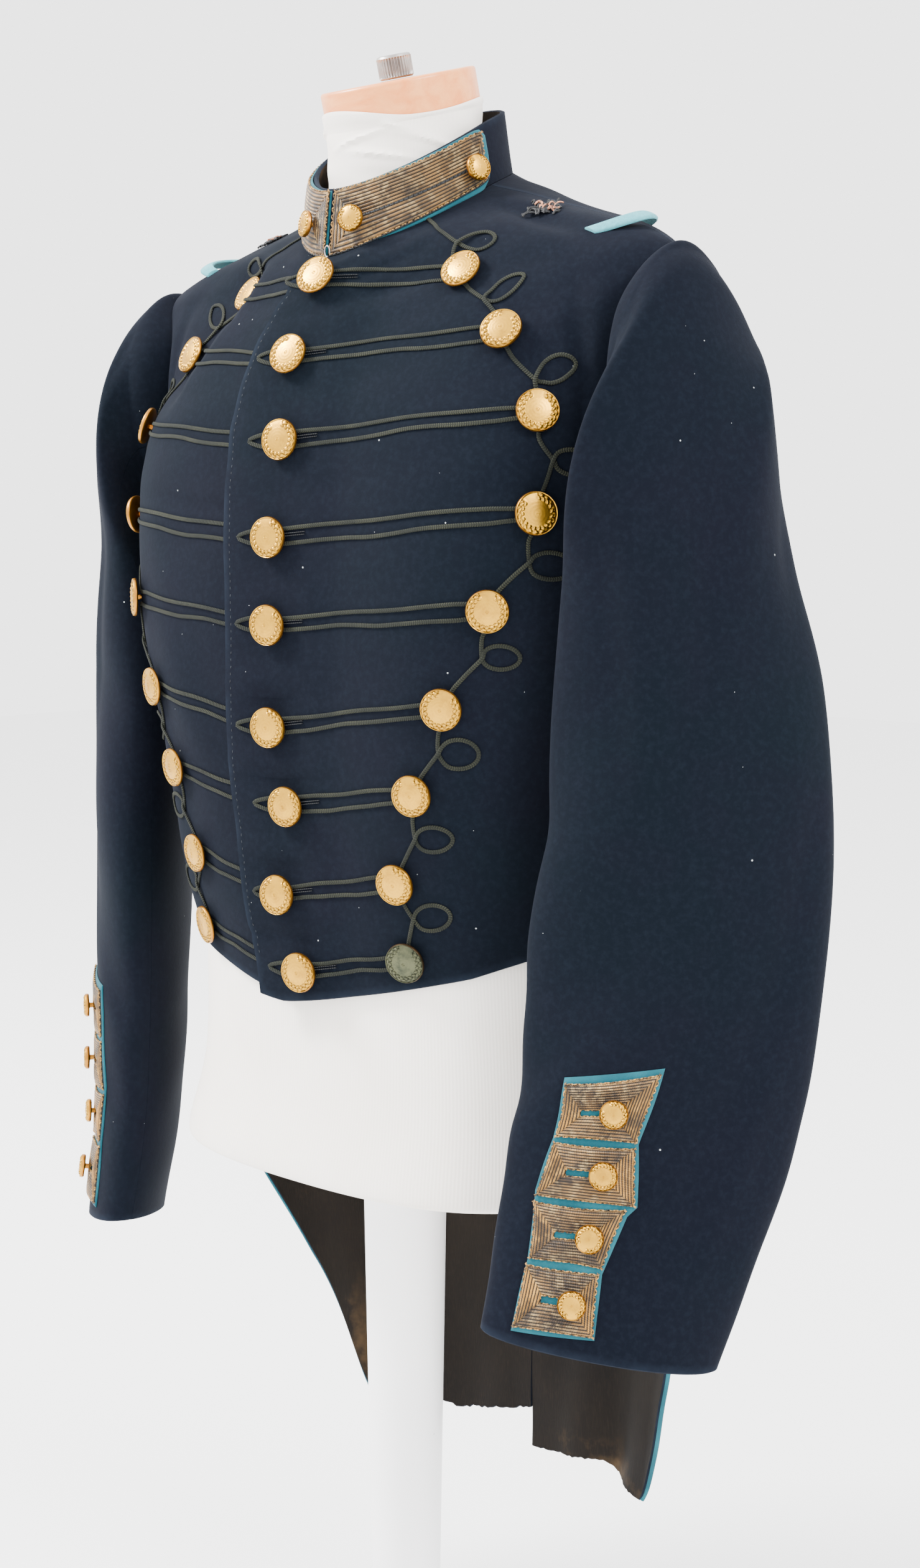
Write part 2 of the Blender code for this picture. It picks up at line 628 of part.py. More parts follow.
def add_cuff_lace(side):
    """A patch on the sleeve with four raised frames of lace, each with a slot."""
    outer, inner = [], []
    for plate in range(CUFF_PLATES):
        rises = ((0.0, False, False), (0.08, True, False), (0.42, True, True), (0.58, True, True), (0.92, True, False))
        if plate == CUFF_PLATES - 1:
            rises += ((1.0, False, False),)
        for part_way, raised, slotted in rises:
            along = (plate + part_way) / CUFF_PLATES
            station = cuff_station(along)
            columns = (cuff_patch_edge(along),) + CUFF_PATCH_COLUMN_DEG
            line_outer, line_inner = [], []
            for c, degrees in enumerate(columns):
                base = sleeve_facet_point(side, station, degrees)
                normal = sleeve_normal(side, station, degrees)
                lace = raised and 0 < c < len(columns) - 1 and not (slotted and c == 2)
                lift = PATCH_WALL + (LACE_RISE if lace else 0.0)
                line_inner.append(base + normal * CUFF_PATCH_GAP)
                line_outer.append(base + normal * (CUFF_PATCH_GAP + lift))
            outer.append(line_outer)
            inner.append(line_inner)
    return sheet_solid("cuff_lace_left" if side > 0 else "cuff_lace_right", outer, inner, LACE)


def add_shoulder_loop(side):
    """A short strap over the shoulder beside the sleeve head."""
    outer, inner = [], []
    count = 9
    for k in range(count):
        u = k / (count - 1)
        t = side * (LOOP_STRAP_FROM_T + (LOOP_STRAP_TO_T - LOOP_STRAP_FROM_T) * u)
        middle = body_point(t, LOOP_STRAP_ROW)
        normal = coat_normal(body_point, t, LOOP_STRAP_ROW)
        across = unit(body_point(t, LOOP_STRAP_ROW + 0.05) - body_point(t, LOOP_STRAP_ROW - 0.05))
        height = LOOP_STRAP_FOOT + LOOP_STRAP_ARCH * math.sin(math.pi * u)
        ends = [middle + across * LOOP_STRAP_HALF_WIDTH * w + normal * height for w in (-1.0, 1.0)]
        inner.append(ends)
        outer.append([p + normal * LOOP_STRAP_WALL for p in ends])
    return sheet_solid("shoulder_loop_left" if side > 0 else "shoulder_loop_right", outer, inner, TEAL)


def front_surface(side):
    return left_front_point if side > 0 else body_point


def on_front(side, x, z):
    """The point and normal of a front at x and z, found by a few Newton steps."""
    surface = front_surface(side)
    t, row = 0.8 * x / 0.1, 6.0 + (z - 0.68) / 0.055
    step = 0.002
    for _ in range(12):
        row = min(max(row, 3.01), 11.98)
        here = surface(t, row)
        by_t = (surface(t + step, row) - here) / step
        by_row = (surface(t, row + step) - here) / step
        matrix = np.array([[by_t[0], by_row[0]], [by_t[2], by_row[2]]])
        change = np.linalg.solve(matrix, np.array([x - here[0], z - here[2]]))
        t += min(max(change[0], -0.5), 0.5)
        row += min(max(change[1], -1.0), 1.0)
    row = min(max(row, 3.01), 11.98)
    return surface(t, row), coat_normal(surface, t, row)


def add_button(name, point, normal, radius, sides):
    """A turned button: shank, flat back, rim and domed face, along the normal."""
    lift = BRAID_CLEARANCE + BRAID_HEIGHT - SHANK_HEIGHT + 0.0010
    profile = (
        (SHANK_RADIUS, REST_GAP),
        (SHANK_RADIUS, SHANK_HEIGHT + lift),
        (radius, SHANK_HEIGHT + lift + BUTTON_EDGE),
        (radius * 0.84, SHANK_HEIGHT + lift + BUTTON_RISE * 0.6),
        (radius * 0.36, SHANK_HEIGHT + lift + BUTTON_RISE),
    )
    normal = unit(normal)
    across = unit(np.cross(np.array([0.0, 0.0, 1.0]), normal))
    upward = np.cross(normal, across)
    rings = []
    for r, height in profile:
        angles = [2 * math.pi * k / sides for k in range(sides)]
        rings.append([point + normal * height + (across * math.cos(a) + upward * math.sin(a)) * r
                      for a in angles])
    return ring_solid(name, rings, GILT)


def braid_route(side):
    """One side's braid as (x, z, lift) triples: nine hairpins joined by small loops."""
    rows = [dict(zip(BUTTON_COLUMNS, row)) for row in BUTTON_TABLE]
    route = []
    s = BRAID_HALF_SPACING
    for k, row in enumerate(rows):
        outer_x, outer_z = row["outer_x"], row["outer_z"]
        edge_x = left_edge_x(6.0 + (row["z"] - 0.68) / 0.06) + BRAID_EDGE_MARGIN
        end_x = max(row["centre_x"] - BRAID_EYE, edge_x) if side > 0 else RIGHT_BRAID_END_X
        start_x = row["centre_x"] if side > 0 else end_x + 0.006
        run = outer_x - start_x
        count = max(int(round(run / BRAID_STEP)), 3)
        upper = []
        for j in range(count + 1):
            u = j / count
            x = outer_x + (start_x - outer_x) * u
            z = outer_z + (row["z"] - outer_z) * u
            upper.append((x, z + s * (1.0 + 0.25 * u)))
        lower = [(x, z - 2 * (s * (1.0 + 0.25 * (i / count)))) for i, (x, z) in enumerate(upper)]
        neck = []
        if side > 0:
            neck = [((row["centre_x"] + end_x) / 2.0, row["z"] + s)]
        tip = [(end_x, row["z"])]
        neck_low = [(x, 2 * row["z"] - z) for x, z in neck]
        route += [(x, z, 0.0) for x, z in upper + neck + tip + neck_low + lower[::-1]]
        if k + 1 < len(rows):
            next_upper = (rows[k + 1]["outer_x"], rows[k + 1]["outer_z"] + s)
            route += loop_between(side, (outer_x, outer_z - s), next_upper)
    return route


def loop_between(side, start, end):
    """A small oval loop that swings out from the line between two buttons and crosses itself.
    Its reach is measured on the cloth, so in x it shrinks where the front turns to the side."""
    start, end = np.array(start), np.array(end)
    middle_x, middle_z = (start + end) / 2.0
    facing = abs(on_front(side, side * middle_x, middle_z)[1][1])
    down = unit(end - start)
    out = np.array([-down[1], down[0]])
    if out[0] < 0:
        out = -out
    span = np.linalg.norm(end - start)
    cross = (start + end) / 2.0 + out * 0.003
    reach = min(LOOP_REACH, span * 0.62)
    tall = min(LOOP_HALF_HEIGHT, span * 0.19)
    middle = cross + out * reach * 0.58
    radius = reach * 0.46
    points = [(start + (cross - start) * 0.55, 0.0), (cross, 0.0)]
    for degrees in (-125, -80, -38, 0, 38, 80, 125):
        angle = math.radians(degrees)
        place = middle + out * math.cos(angle) * radius - down * math.sin(angle) * tall
        points.append((place, 0.0 if degrees < 120 else LOOP_LIFT * 0.6))
    points.append((cross, LOOP_LIFT))
    points += [(cross + (end - cross) * 0.24, LOOP_LIFT * 0.6), (cross + (end - cross) * 0.58, 0.0)]
    line_x = [start[0] + (end[0] - start[0]) * (p[1] - start[1]) / (end[1] - start[1]) for p, lift in points]
    return [(x + (p[0] - x) * facing, float(p[1]), lift) for x, (p, lift) in zip(line_x, points)]


def add_braid(side):
    centres, normals = [], []
    for x, z, lift in braid_route(side):
        point, normal = on_front(side, side * x, z)
        centres.append(point + normal * (BRAID_CLEARANCE + lift))
        normals.append(normal)
    rings = []
    last = len(centres) - 1
    for i, (centre, normal) in enumerate(zip(centres, normals)):
        back = unit(centre - centres[i - 1]) if i > 0 else None
        ahead = unit(centres[i + 1] - centre) if i < last else None
        back = ahead if back is None else back
        ahead = back if ahead is None else ahead
        tangent = unit(back + ahead)
        across = unit(np.cross(normal, tangent))
        mitre = 1.0 / max(math.sqrt(max((1.0 + float(np.dot(back, ahead))) / 2.0, 0.0)), 0.55)
        half = BRAID_WIDTH / 2.0 * mitre
        rings.append([centre - across * half, centre + across * half, centre + normal * BRAID_HEIGHT])
    return ring_solid("braid_left" if side > 0 else "braid_right", rings, BRAID)


def add_coat_buttons():
    for k, values in enumerate(BUTTON_TABLE, start=1):
        row = dict(zip(BUTTON_COLUMNS, values))
        point, normal = on_front(1, row["centre_x"], row["z"])
        add_button(f"button_centre_{k}", point, normal, BUTTON_RADIUS, BUTTON_SIDES)
        for side, word in ((1, "left"), (-1, "right")):
            point, normal = on_front(side, side * row["outer_x"], row["outer_z"])
            seat = point - normal * OUTER_BUTTON_SINK
            add_button(f"button_{word}_{k}", seat, normal, BUTTON_RADIUS, BUTTON_SIDES)


def add_small_buttons():
    for side, word in ((1, "left"), (-1, "right")):
        for place, t, height in COLLAR_BUTTONS:
            normal = collar_normal(side * t, height)
            point = collar_point(side * t, height) + normal * (PATCH_WALL + LACE_RISE + REST_GAP)
            add_button(f"collar_button_{word}_{place}", point, normal, SMALL_BUTTON_RADIUS, SMALL_BUTTON_SIDES)
        for k in range(CUFF_PLATES):
            along = (k + 0.5) / CUFF_PLATES
            station = cuff_station(along)
            normal = sleeve_normal(side, station, CUFF_BUTTON_DEG)
            seat = CUFF_PATCH_GAP + PATCH_WALL + LACE_RISE
            point = sleeve_facet_point(side, station, CUFF_BUTTON_DEG) + normal * seat
            add_button(f"cuff_button_{word}_{k + 1}", point, normal, SMALL_BUTTON_RADIUS, SMALL_BUTTON_SIDES)


def ring_of(row, count):
    return [ring_point(row, -4.0 + 8.0 * k / count) for k in range(count)]


def tilted_circle(centre_y, z, radius, count):
    """A neck ring that leans forward, in step with ring_of: it starts at the back."""
    tilt = math.radians(NECK_TILT_DEG)
    points = []
    for k in range(count):
        angle = -math.pi + 2 * math.pi * k / count
        x, y = radius * math.sin(angle), -radius * math.cos(angle)
        points.append(np.array([x, centre_y + y * math.cos(tilt), z + y * math.sin(tilt)]))
    return points


def add_form():
    count = 24
    inset = WALL + FORM_CLEARANCE
    rings = [ring_of(row, count) for row in FORM_HIP_ROWS]
    for row in (3.5, 4.1, 4.8, 5.5, 6.3, 7.0, 7.7, 8.4, 9.1, 9.7, 10.3, 10.9, 11.5, 11.9):
        line = []
        for k in range(count):
            t = -4.0 + 8.0 * k / count
            normal = coat_normal(body_point, t, row)
            line.append(body_point(t, row) - normal * inset)
        rings.append(line)
    rings.append(tilted_circle(NECK_TOP_Y, NECK_FOOT_Z, NECK_RADIUS, count))
    rings.append(tilted_circle(NECK_TOP_Y, (NECK_FOOT_Z + NECK_TOP_Z) / 2, NECK_RADIUS * 0.99, count))
    rings.append(tilted_circle(NECK_TOP_Y, NECK_TOP_Z, NECK_RADIUS, count))
    return ring_solid("form_torso", rings, JERSEY)


def tilted_turning(name, profile, foot_z, finish_row, count=24):
    """A turned piece on the neck's leaning axis: radius and height above the neck's top."""
    tilt = math.radians(NECK_TILT_DEG)
    axis = np.array([0.0, -math.sin(tilt), math.cos(tilt)])
    rings = []
    for radius, height in profile:
        circle = tilted_circle(NECK_TOP_Y, foot_z, radius, count)
        rings.append([p + axis * height for p in circle])
    return ring_solid(name, rings, finish_row)


def add_cap_and_knob():
    edge = 0.0015
    cap = ((CAP_RADIUS - edge, REST_GAP), (CAP_RADIUS, REST_GAP + edge),
           (CAP_RADIUS, CAP_HEIGHT - edge), (CAP_RADIUS - edge, CAP_HEIGHT))
    tilted_turning("form_cap", cap, NECK_TOP_Z, WOOD, count=32)
    foot = CAP_HEIGHT + REST_GAP
    knob = ((KNOB_RADIUS - 0.001, foot), (KNOB_RADIUS, foot + 0.001),
            (KNOB_RADIUS, foot + KNOB_HEIGHT - 0.002), (KNOB_RADIUS - 0.002, foot + KNOB_HEIGHT))
    tilted_turning("form_knob", knob, NECK_TOP_Z, STEEL, count=20)


def add_stand():
    count = 28
    top = FORM_BOTTOM_Z - REST_GAP
    profile = (
        (BASE_RADIUS - BASE_BEVEL / 3, 0.0),
        (BASE_RADIUS, BASE_BEVEL / 3),
        (BASE_RADIUS, BASE_HEIGHT - BASE_BEVEL),
        (BASE_RADIUS - BASE_BEVEL, BASE_HEIGHT),
        (POST_FOOT_RADIUS + 0.012, BASE_HEIGHT + 0.002),
        (POST_FOOT_RADIUS, BASE_HEIGHT + 0.012),
        (POST_TOP_RADIUS, top),
    )
    rings = []
    for radius, z in profile:
        angles = [2 * math.pi * k / count for k in range(count)]
        rings.append([np.array([radius * math.cos(a), radius * math.sin(a), z]) for a in angles])
    return ring_solid("form_stand", rings, PAINT)


def main():
    clear_scene()
    for side in (1, -1):
        add_front(side)
        add_back(side)
        add_sleeve(side, top=True)
        add_sleeve(side, top=False)
        add_collar_lace(side)
        add_cuff_lace(side)
        add_shoulder_loop(side)
        add_braid(side)
    add_collar()
    add_coat_buttons()
    add_small_buttons()
    add_form()
    add_cap_and_knob()
    add_stand()


main()
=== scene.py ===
"""Dressed model of a short-fronted, braided wool tailcoat on a limbless dress form."""

import math

import bmesh
import bpy
import numpy as np
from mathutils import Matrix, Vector


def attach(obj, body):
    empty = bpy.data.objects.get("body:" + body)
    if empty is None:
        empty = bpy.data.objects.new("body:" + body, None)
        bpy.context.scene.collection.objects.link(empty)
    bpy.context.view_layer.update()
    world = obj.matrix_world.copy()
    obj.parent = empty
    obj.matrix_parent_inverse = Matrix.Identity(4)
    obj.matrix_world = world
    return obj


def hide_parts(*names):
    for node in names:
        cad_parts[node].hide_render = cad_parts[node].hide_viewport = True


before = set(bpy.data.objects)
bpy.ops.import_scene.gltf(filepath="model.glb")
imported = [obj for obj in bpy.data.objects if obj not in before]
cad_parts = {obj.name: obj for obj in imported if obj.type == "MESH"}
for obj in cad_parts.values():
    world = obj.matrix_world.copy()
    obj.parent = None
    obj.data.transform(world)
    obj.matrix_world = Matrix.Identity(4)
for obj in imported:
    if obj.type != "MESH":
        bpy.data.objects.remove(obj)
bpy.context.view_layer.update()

# Cloth walls, as cut
WALL = 0.0020
COLLAR_WALL = 0.0028
PATCH_WALL = 0.0012
SEAM_GAP = 0.0004
REST_GAP = 0.0004
FORM_CLEARANCE = 0.0036
TWO_SIDES = ((1, "left"), (-1, "right"))

# Coat body, one row for each level from the tails' ends to the neck: f, zf front; xq, yq, zq
# front quarter; w, ys, zs side; xr, yr, zr rear quarter; b, zb behind
BODY_TABLE = np.array((
    (0.080, 0.139, 0.120, 0.050, 0.139, 0.152, 0.040, 0.139, 0.104, 0.086, 0.139, 0.118, 0.139),
    (0.085, 0.250, 0.120, 0.055, 0.250, 0.163, 0.028, 0.250, 0.112, 0.092, 0.250, 0.119, 0.250),
    (0.100, 0.360, 0.125, 0.068, 0.360, 0.177, 0.012, 0.360, 0.114, 0.102, 0.360, 0.121, 0.360),
    (0.0900, 0.470, 0.115, 0.0610, 0.470, 0.163, 0.008, 0.470, 0.104, 0.096, 0.470, 0.115, 0.470),
    (0.0915, 0.530, 0.117, 0.0700, 0.530, 0.157, 0.008, 0.530, 0.100, 0.091, 0.530, 0.108, 0.530),
    (0.0945, 0.600, 0.120, 0.0810, 0.600, 0.165, 0.006, 0.600, 0.106, 0.093, 0.600, 0.109, 0.600),
    (0.0985, 0.680, 0.142, 0.0765, 0.680, 0.178, 0.004, 0.680, 0.113, 0.098, 0.680, 0.113, 0.680),
    (0.0960, 0.745, 0.156, 0.0665, 0.745, 0.182, 0.000, 0.745, 0.116, 0.102, 0.745, 0.117, 0.745),
    (0.0905, 0.790, 0.155, 0.0600, 0.796, 0.190, -0.004, 0.800, 0.115, 0.101, 0.797, 0.117, 0.797),
    (0.0800, 0.832, 0.133, 0.0530, 0.842, 0.197, -0.006, 0.849, 0.112, 0.093, 0.847, 0.112, 0.847),
    (0.0680, 0.862, 0.096, 0.0410, 0.879, 0.195, -0.001, 0.885, 0.098, 0.076, 0.892, 0.098, 0.895),
    (0.0625, 0.876, 0.068, 0.0370, 0.896, 0.118, 0.011, 0.912, 0.070, 0.062, 0.922, 0.080, 0.925),
    (0.0580, 0.886, 0.043, 0.0360, 0.902, 0.060, 0.008, 0.927, 0.041, 0.049, 0.941, 0.0615, 0.944),
))
COLLAR_TOP = np.array((0.0535, 0.925, 0.0385, 0.0340, 0.937, 0.0550, 0.008, 0.961, 0.0385, 0.044,
                       0.975, 0.0565, 0.979))
FORM_HIP_ROWS = np.array((
    (0.093, 0.364, 0.120, 0.066, 0.364, 0.164, 0.002, 0.364, 0.112, 0.092, 0.364, 0.106, 0.364),
    (0.096, 0.372, 0.122, 0.067, 0.372, 0.168, 0.002, 0.372, 0.115, 0.095, 0.372, 0.110, 0.372),
    (0.086, 0.420, 0.115, 0.058, 0.420, 0.160, 0.003, 0.420, 0.109, 0.093, 0.420, 0.109, 0.420),
))
HEM_ROW = 3
ARMPIT_ROW = 7
NECK_ROW = 12
ARMHOLE_T = 2.06
ARMHOLE_HALF_T = 0.46
ARMHOLE_ROW = 8.45
ARMHOLE_HALF_ROW = 1.45
ARMHOLE_SHRINK_T = 0.005
ARMHOLE_SHRINK_ROW = 0.012
SIDE_SEAM_SWEEP = 0.19
FRONT_HEM_RISE = 0.86
FRONT_HEM_POWER = 1.3

# Front edges and the lap of the left front over the right
LEFT_EDGE_ROWS = (3.0, 4.0, 5.0, 6.0, 7.0, 8.0, 9.0, 10.0, 12.0)
LEFT_EDGE_X = (-0.016, -0.027, -0.033, -0.030, -0.033, -0.034, -0.026, -0.014, -0.006)
RIGHT_EDGE_X = 0.018
LAP_LIFT = 0.0026
LAP_FULL_X = 0.022
LAP_END_X = 0.052
ROLL_LIFT = 0.0100
ROLL_START = 0.048
ROLL_END = -0.030
ROLL_FADE_ROWS = 1.5

# Tails
TAIL_EDGE_T = (3.00, 2.44, 1.99, 2.10)
TAIL_LOW_ROW = {1: 0.0, -1: 0.24}
TAIL_SWING = {1: 0.016, -1: 0.0}
# How far in rows a tail's hem rises behind its front corner, and turns up towards the vent
TAIL_HEM_RISE = {1: 0.22, -1: -0.23}
TAIL_HEM_TURN = {1: -0.23, -1: 0.30}
PLEAT_T = 3.35
PLEAT_HALF_T = 0.16
PLEAT_DEPTH = 0.007

# Sleeve stations, shoulder to cuff: x, y left, y right, z left, z right, tip, half thickness,
# half width, turn, droop of the front end
SLEEVE_TABLE = np.array((
    (0.1985, 0.0020, 0.0020, 0.8130, 0.8130, 8.0, 0.0720, 0.0490, 4, 0.000),
    (0.2055, -0.0010, -0.0010, 0.8025, 0.8025, 13.9, 0.0715, 0.0560, 8, 0.000),
    (0.2092, -0.0070, -0.0070, 0.7805, 0.7805, 20.6, 0.0620, 0.0615, 14, 0.000),
    (0.2125, -0.0100, -0.0100, 0.7460, 0.7460, 32.0, 0.0478, 0.0650, 22, 0.000),
    (0.2150, -0.0090, -0.0090, 0.7090, 0.7090, 56.0, 0.0345, 0.0660, 30, 0.000),
    (0.2200, -0.0100, -0.0100, 0.6550, 0.6550, 90.0, 0.0335, 0.0720, 38, 0.000),
    (0.2230, -0.0130, -0.0130, 0.5950, 0.5950, 90.0, 0.0320, 0.0765, 42, 0.000),
    (0.2225, -0.0180, -0.0180, 0.5250, 0.5200, 90.0, 0.0305, 0.0785, 45, 0.000),
    (0.2215, -0.0270, -0.0220, 0.4600, 0.4500, 90.0, 0.0290, 0.0770, 46, 0.000),
    (0.2203, -0.0355, -0.0248, 0.4225, 0.4090, 90.0, 0.0283, 0.0755, 46, 0.003),
    (0.2190, -0.0470, -0.0285, 0.3860, 0.3690, 90.0, 0.0270, 0.0712, 46, 0.006),
    (0.2175, -0.0610, -0.0350, 0.3500, 0.3290, 90.0, 0.0255, 0.0660, 46, 0.009),
    (0.2170, -0.0745, -0.0440, 0.3160, 0.2890, 90.0, 0.0240, 0.0615, 46, 0.011),
))
SLEEVE_SEAM_DEG = 112.5
SLEEVE_LAST = len(SLEEVE_TABLE) - 1.0

# Creases: station, degrees, half length, half width, height (below zero a trough), slant
SLEEVE_CREASES = (
    (1.1, -22, 1.1, 52, -0.0085, 0),
    (1.9, 84, 1.1, 26, 0.0045, 0),
    (3.6, -66, 1.3, 22, -0.0065, 10),
    (2.9, -34, 1.3, 13, 0.0045, 14),
    (3.4, 6, 1.2, 12, -0.0022, -6),
    (4.6, 30, 1.5, 10, 0.0022, -8),
    (5.6, 70, 0.8, 30, -0.0040, 30),
    (6.8, 60, 0.9, 30, 0.0030, 30),
    (8.2, 74, 0.7, 26, -0.0040, 26),
    (2.2, -44, 1.0, 5, 0.0016, 16),
    (4.4, 48, 1.2, 9, -0.0012, -14),
    (5.6, 10, 1.6, 9, -0.0020, 10),
    (7.3, -40, 1.4, 10, -0.0026, 12),
    (7.9, 34, 0.7, 18, 0.0022, 34),
    (6.2, 86, 0.3, 40, -0.0022, 40),
    (7.4, 84, 0.3, 38, -0.0020, 40),
    (9.2, -35, 1.6, 9, 0.0020, 4),
    (10.4, 24, 0.9, 10, -0.0018, 16),
    (9.8, 66, 0.5, 14, -0.0014, 10),
    (0.9, 62, 0.8, 12, -0.0018, 10),
)
# Creases of the coat: side (0 both), t, row, half t, half row, height, slant
COAT_CREASES = (
    (0, 1.40, 8.6, 0.06, 1.00, -0.0029, 0.02),
    (1, 0.55, 9.9, 0.35, 0.20, -0.0019, 0.0),
    (1, 1.28, 7.2, 0.30, 0.20, -0.0019, 0.0),
    (-1, 0.95, 6.4, 0.10, 1.40, 0.0029, 0.02),
    (-1, 0.45, 7.1, 0.20, 0.16, -0.0035, 1.1),
    (-1, 0.50, 6.3, 0.22, 0.18, 0.0026, 1.0),
    (-1, 0.60, 5.4, 0.16, 0.50, 0.0022, 0.2),
    (1, 0.00, 5.52, 0.14, 0.07, -0.0029, 0.0),
    (1, 0.00, 5.64, 0.16, 0.08, 0.0019, 0.0),
    (1, 0.04, 4.97, 0.14, 0.07, -0.0029, 0.0),
    (1, 0.04, 5.09, 0.16, 0.08, 0.0019, 0.0),
    (1, 0.00, 4.27, 0.14, 0.07, -0.0032, 0.0),
    (1, 0.00, 4.40, 0.16, 0.08, 0.0019, 0.0),
    (1, 0.05, 3.60, 0.14, 0.07, -0.0032, 0.0),
    (0, 1.60, 5.0, 0.16, 0.30, -0.0026, 0.10),
    (0, 1.75, 4.4, 0.20, 0.25, 0.0022, 0.10),
    (1, 1.62, 10.9, 0.10, 0.60, -0.0042, 0.10),
    (0, 3.10, 4.6, 0.30, 0.22, -0.0026, 0.10),
    (0, 2.70, 5.4, 0.26, 0.20, 0.0022, 0.12),
    (0, 3.40, 8.0, 0.12, 1.00, -0.0022, 0.05),
    (0, 2.75, 7.6, 0.10, 0.90, -0.0029, 0.08),
)

# No crease goes deeper than this, so that the cloth stays clear of the form
DEEPEST = 0.0042

# Buttons and braid, from the neck down: z and x of the centre button, z and x of the outer one
BUTTON_TABLE = (
    (0.874, 0.007, 0.873, 0.092),
    (0.831, 0.003, 0.839, 0.130),
    (0.785, 0.007, 0.797, 0.156),
    (0.732, 0.004, 0.745, 0.158),
    (0.684, 0.003, 0.695, 0.141),
    (0.627, 0.001, 0.643, 0.117),
    (0.583, 0.010, 0.596, 0.099),
    (0.532, 0.002, 0.546, 0.083),
    (0.489, 0.015, 0.502, 0.083),
)
BUTTON_RADIUS = 0.0115
SMALL_BUTTON_RADIUS = 0.0075
BUTTON_RISE = 0.0036
SHANK_RADIUS = 0.0016
BUTTON_SEAT = 0.0031
OUTER_BUTTON_SINK = 0.0003
BRAID_WIDTH = 0.0024
BRAID_HEIGHT = 0.0012
BRAID_HALF_SPACING = 0.0037
BRAID_EYE = 0.024
BRAID_EDGE_MARGIN = 0.0045
RIGHT_BRAID_END_X = 0.0140
# Small loops between outer buttons, on the cloth: how far down the crossing is, how far out;
# then the loop's middle out and down from the crossing, half length, half height, tilt, point
LOOPS = (
    (0.45, 0.0050, 0.0105, -0.0060, 0.0100, 0.0060, 33, 0.5),
    (0.62, 0.0075, 0.0095, -0.0055, 0.0092, 0.0072, 20, 0.0),
    (0.46, 0.0110, 0.0100, 0.0015, 0.0100, 0.0066, -8, 0.0),
    (0.50, 0.0100, 0.0090, 0.0020, 0.0092, 0.0070, -5, 0.2),
    (0.48, 0.0088, 0.0082, -0.0005, 0.0082, 0.0062, 5, 0.0),
    (0.52, 0.0062, 0.0098, 0.0000, 0.0093, 0.0078, 10, 0.0),
    (0.50, 0.0062, 0.0098, -0.0008, 0.0098, 0.0068, 8, 0.1),
    (0.45, 0.0075, 0.0105, -0.0020, 0.0105, 0.0070, 15, 0.0),
)
NECK_LOOP = ((0.0490, 0.9065), (0.0590, 0.9015), (0.0700, 0.8960), (0.0815, 0.8900), (0.0885, 0.8868),
             (0.0955, 0.8856), (0.1005, 0.8885), (0.1003, 0.8925), (0.0950, 0.8955), (0.0890, 0.8950),
             (0.0840, 0.8922), (0.0808, 0.8890), (0.0812, 0.8830), (0.0830, 0.8780))

# Lace plates of a cuff: corners (station, degrees) near-front top, rear top, rear low,
# near-front low, then the slot's near-front and rear ends, half its height in stations
PLATES = (
    ((8.14, 42.8), (8.00, 4.8), (8.93, 9.6), (8.94, 44.6), (8.53, 34.5), (8.50, 20.0)),
    ((9.03, 44.9), (9.02, 9.6), (9.81, 4.7), (9.82, 50.3), (9.43, 36.5), (9.42, 20.0)),
    ((9.92, 50.9), (9.88, 8.0), (10.69, 11.8), (10.72, 47.0), (10.33, 37.0), (10.30, 21.0)),
    ((10.82, 48.0), (10.78, 12.6), (11.58, 8.0), (11.68, 50.2), (11.24, 37.0), (11.22, 21.0)),
)
SLOT_HALF = 0.050
CUFF_PATCH = ((8.07, 44.4), (7.94, 3.2), (8.96, 8.4), (9.82, 3.4), (9.96, 6.6), (10.77, 10.8),
              (11.62, 6.8), (11.76, 51.6), (11.30, 50.3), (10.76, 48.4), (9.76, 52.2), (8.97, 46.2))
CUFF_BUTTONS = ((8.50, 20.0), (9.42, 20.0), (10.32, 20.6), (11.23, 20.6))
COLLAR_BUTTONS = (("front", 0.36, 0.45), ("rear", 1.76, 0.38))

# Shoulder strap, form, cap, knob and stand
STRAP_ROW = 10.36
STRAP_FROM_T = 1.65
STRAP_TO_T = 2.56
STRAP_HALF_WIDTH = 0.0055
STRAP_WALL = 0.0024
STRAP_FOOT = -0.0012
STRAP_ARCH = 0.0056
FORM_BOTTOM_Z = 0.364
# Wrinkles in the neck's jersey: height, lean, angle round the neck, half width, half height
NECK_WRINKLES = (
    (0.960, -0.012, 0.55, 0.60, 0.0014),
    (0.952, -0.009, 1.05, 0.45, 0.0012),
    (0.953, 0.010, 0.10, 0.35, 0.0012),
    (0.944, -0.006, 0.45, 0.40, 0.0013),
    (0.962, 0.008, -0.60, 0.50, 0.0014),
    (0.957, 0.010, 2.40, 0.60, 0.0014),
    (0.950, -0.010, -2.20, 0.60, 0.0014),
)
NECK_RADIUS = 0.0455
NECK_TILT_DEG = 15.0
NECK_TOP_Y = 0.002
NECK_FOOT_Z = 0.934
NECK_TOP_Z = 0.970
CAP_RADIUS = 0.0450
CAP_HEIGHT = 0.022
KNOB_RADIUS = 0.0100
KNOB_HEIGHT = 0.0140
POST_TOP_RADIUS = 0.0255
POST_FOOT_RADIUS = 0.0200
BASE_RADIUS = 0.160
BASE_HEIGHT = 0.018


# Shapes: the same surfaces as the solids, for whole arrays of points

def smooth_step(x):
    x = np.clip(x, 0.0, 1.0)
    return x * x * (3.0 - 2.0 * x)


def unit(v):
    return v / np.maximum(np.linalg.norm(v, axis=-1, keepdims=True), 1e-12)


def hermite(p1, p2, slope_low, slope_high, u):
    return ((2 * u**3 - 3 * u**2 + 1) * p1 + (u**3 - 2 * u**2 + u) * slope_low
            + (-2 * u**3 + 3 * u**2) * p2 + (u**3 - u**2) * slope_high)


